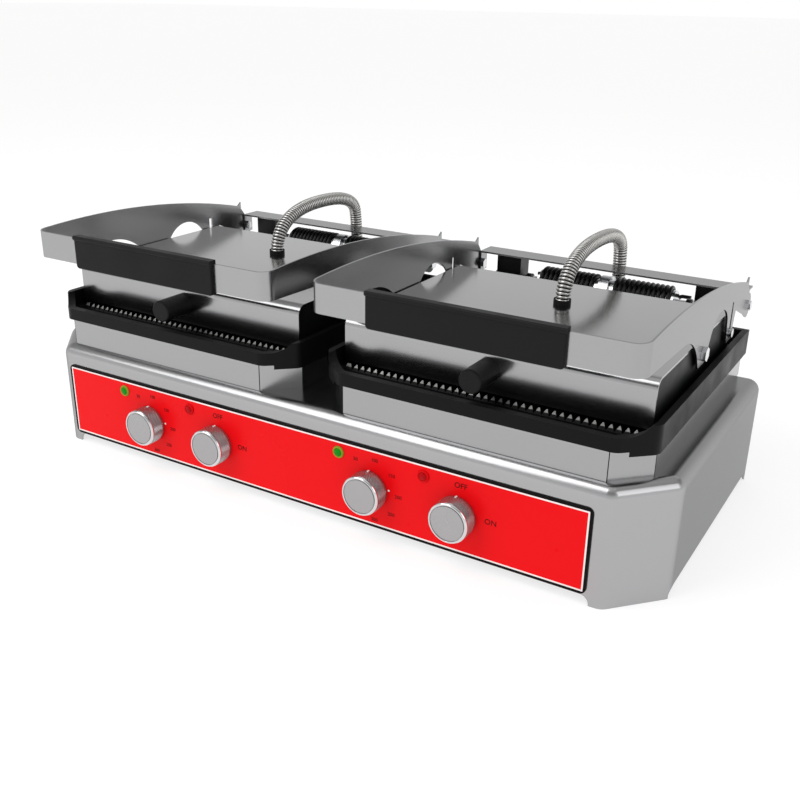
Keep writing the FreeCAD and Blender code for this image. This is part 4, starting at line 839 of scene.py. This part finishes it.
class GRILL_OT_panel(bpy.types.Operator):
    """Printed control panel with its border, line, figures and words"""

    bl_idname = "grill.panel"
    bl_label = "Control panel"

    def execute(self, context):
        settings = context.scene.grill_print
        # Strong, even red with a weak shine
        red = grained("gloss red print on sheet", tuple(settings.red), rough=0.35, grain=0.8, relief=0.02,
                      gleam=0.1, mottle=0.02)
        dress(red, "control_panel")
        # Flat black and white print
        ink = grained("black ink", tuple(settings.ink), rough=0.5, grain=0.8, relief=0.02, gleam=0.08)
        white = grained("white ink", tuple(settings.line), rough=0.4, grain=0.8, relief=0.02)
        low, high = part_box("control_panel")
        back, front = low[1], low[1] - settings.film
        outlines = []
        for inset, radius in ((-settings.film, settings.corner + settings.film), (0.0, settings.corner),
                              (settings.border, LINE_CORNERS[0]),
                              (settings.border + settings.stripe, LINE_CORNERS[1])):
            outlines.append(rounded((low[0] + inset, low[2] + inset), (high[0] - inset, high[2] - inset),
                                    radius))
        over, outer, middle, inner = outlines
        edge = hoop(over, outer, high[1], front)
        border = new_mesh("panel_border", *together(hoop(outer, middle, back, front), edge), ink)
        dots = []
        for side, _ in SIDES:
            x, z = middle_of(side + "_thermostat_knob")
            dots.append(slab(circle(x + REST_DOT[0], z + REST_DOT[1], settings.dot), back, front))
        line = new_mesh("panel_line", *together(hoop(middle, inner, back, front), *dots), white)
        words = []
        for side, _ in SIDES:
            x, z = middle_of(side + "_switch_knob")
            for text, right, up in SWITCH_WORDS:
                words.append((text, x + right, z + up, settings.word))
            x, z = middle_of(side + "_thermostat_knob")
            for step, text in enumerate(SCALE_FIGURES):
                angle = SCALE_START + step * SCALE_STEP
                right, up = settings.scale * math.sin(angle), settings.scale * math.cos(angle)
                words.append((text, x + right, z + up, settings.figure))
        lettering = printed("panel_words", words, back, settings.film, ink)
        for piece in (border, line, lettering):
            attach(piece, "base")
        return {"FINISHED"}


class GRILL_OT_knobs(bpy.types.Operator):
    """Knurled metal knobs and the white marks on them"""

    bl_idname = "grill.knobs"
    bl_label = "Knobs"

    def execute(self, context):
        # Plain pale grey face, and knurls that break up the panel's red
        satin = grained("satin aluminium", linear("#A8A8A9"), rough=0.26, grain=0.5, relief=0.03,
                        metallic=0.85, spread=0.04, mottle=0.04)
        # Bright ring round the face: polished, and lighter in colour as a painted highlight
        polished = grained("polished aluminium with painted highlight", linear("#D4D4D5"), rough=0.16, grain=0.5, relief=0.01,
                           metallic=1.0, spread=0.03, mottle=0.02)
        # Clear white stroke
        white = grained("white paint", linear("#F4F2F0"), rough=0.45, grain=0.6, relief=0.03)
        panel_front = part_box("control_panel")[0][1]
        foot = panel_front - KNOB_GAP
        mark_back = panel_front - MARK_GAP
        for side, _ in SIDES:
            for kind in ("thermostat", "switch"):
                low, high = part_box(side + "_" + kind + "_knob")
                x, z = middle_of(side + "_" + kind + "_knob")
                knob = new_mesh(side + "_" + kind + "_knurled_knob",
                                *knurled(x, z, low[1], foot, high[1]), satin)
                knob.data.materials.append(polished)
                rings = len(knob.data.polygons) // KNURL_STEPS
                for number, polygon in enumerate(knob.data.polygons):
                    polygon.material_index = int(number % rings in POLISHED_RINGS)
                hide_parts(side + "_" + kind + "_knob")
                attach(knob, side + "_" + kind + "_dial")
                top = z + (high[0] - low[0]) / 2
                outline = [(x - MARK_HALF, top - MARK_DEPTH), (x + MARK_HALF, top - MARK_DEPTH),
                           (x + MARK_HALF, top + MARK_RISE), (x - MARK_HALF, top + MARK_RISE)]
                mark = new_mesh(side + "_" + kind + "_mark",
                                *slab(outline, mark_back, mark_back - MARK_LENGTH), white)
                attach(mark, side + "_" + kind + "_dial")
        return {"FINISHED"}


# Pilot lights: colour, lens and rim
PILOTS = (("green", "#118A12", "#8C9A2C"), ("red", "#B00008", "#D80A12"))


class GRILL_OT_pilots(bpy.types.Operator):
    """Pilot lights: domed lenses in moulded rims"""

    bl_idname = "grill.pilots"
    bl_label = "Pilot lights"

    def execute(self, context):
        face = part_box("control_panel")[0][1]
        for colour, lens_code, rim_code in PILOTS:
            node = colour + "_pilot_lights"
            low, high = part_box(node)
            reach = face - low[1]
            radius = (high[2] - low[2]) / 2
            z = (low[2] + high[2]) / 2
            centres = [(x, z) for x in (low[0] + radius, high[0] - radius)]
            # Dark glassy middle in a lighter dull ring
            lens = grained(colour + " lens", linear(lens_code), rough=0.2, grain=0.8, relief=0.01,
                           gleam=0.1, mottle=0.04)
            rim = grained(colour + " lens rim", linear(rim_code), rough=0.4, grain=0.8, relief=0.02,
                          gleam=0.05, mottle=0.04)
            dome = [(radius * across, face - reach * height) for across, height in LENS_PROFILE]
            ring = [(radius * across, face - reach * height) for across, height in RIM_PROFILE]
            glass = new_mesh(colour + "_lenses", *turned(dome, centres), lens, smooth=True)
            rims = new_mesh(colour + "_lens_rims", *turned(ring, centres), rim, smooth=True)
            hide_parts(node)
            for piece in (glass, rims):
                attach(piece, "base")
        return {"FINISHED"}


class GRILL_PT_panel(bpy.types.Panel):
    """Lists the steps that dress the grill"""

    bl_label = "Grill"
    bl_idname = "GRILL_PT_panel"
    bl_space_type = "VIEW_3D"
    bl_region_type = "UI"
    bl_category = "Grill"

    def draw(self, context):
        for step in STEPS:
            self.layout.operator(step.bl_idname)
        for group in GROUPS:
            for name in group[1].__annotations__:
                self.layout.prop(getattr(context.scene, group[0]), name)


GROUPS = (
    ("grill_camera", GrillCamera),
    ("grill_print", GrillPrint),
    ("grill_conduit", GrillConduit),
    ("grill_metal", GrillMetal),
)
STEPS = (
    GRILL_OT_stage,
    GRILL_OT_conduits,
    GRILL_OT_steelwork,
    GRILL_OT_castings,
    GRILL_OT_grips,
    GRILL_OT_hinges,
    GRILL_OT_inner,
    GRILL_OT_panel,
    GRILL_OT_knobs,
    GRILL_OT_pilots,
)


def register():
    """Register the settings, the steps and the panel."""
    for name, group in GROUPS:
        bpy.utils.register_class(group)
        setattr(bpy.types.Scene, name, bpy.props.PointerProperty(type=group))
    for step in STEPS:
        bpy.utils.register_class(step)
    bpy.utils.register_class(GRILL_PT_panel)


def unregister():
    """Take everything off again."""
    bpy.utils.unregister_class(GRILL_PT_panel)
    for step in reversed(STEPS):
        bpy.utils.unregister_class(step)
    for name, group in reversed(GROUPS):
        delattr(bpy.types.Scene, name)
        bpy.utils.unregister_class(group)


def main():
    """Dress the grill, step by step."""
    register()
    for step in STEPS:
        family, name = step.bl_idname.split(".")
        getattr(getattr(bpy.ops, family), name)()


if __name__ == "__main__":
    main()
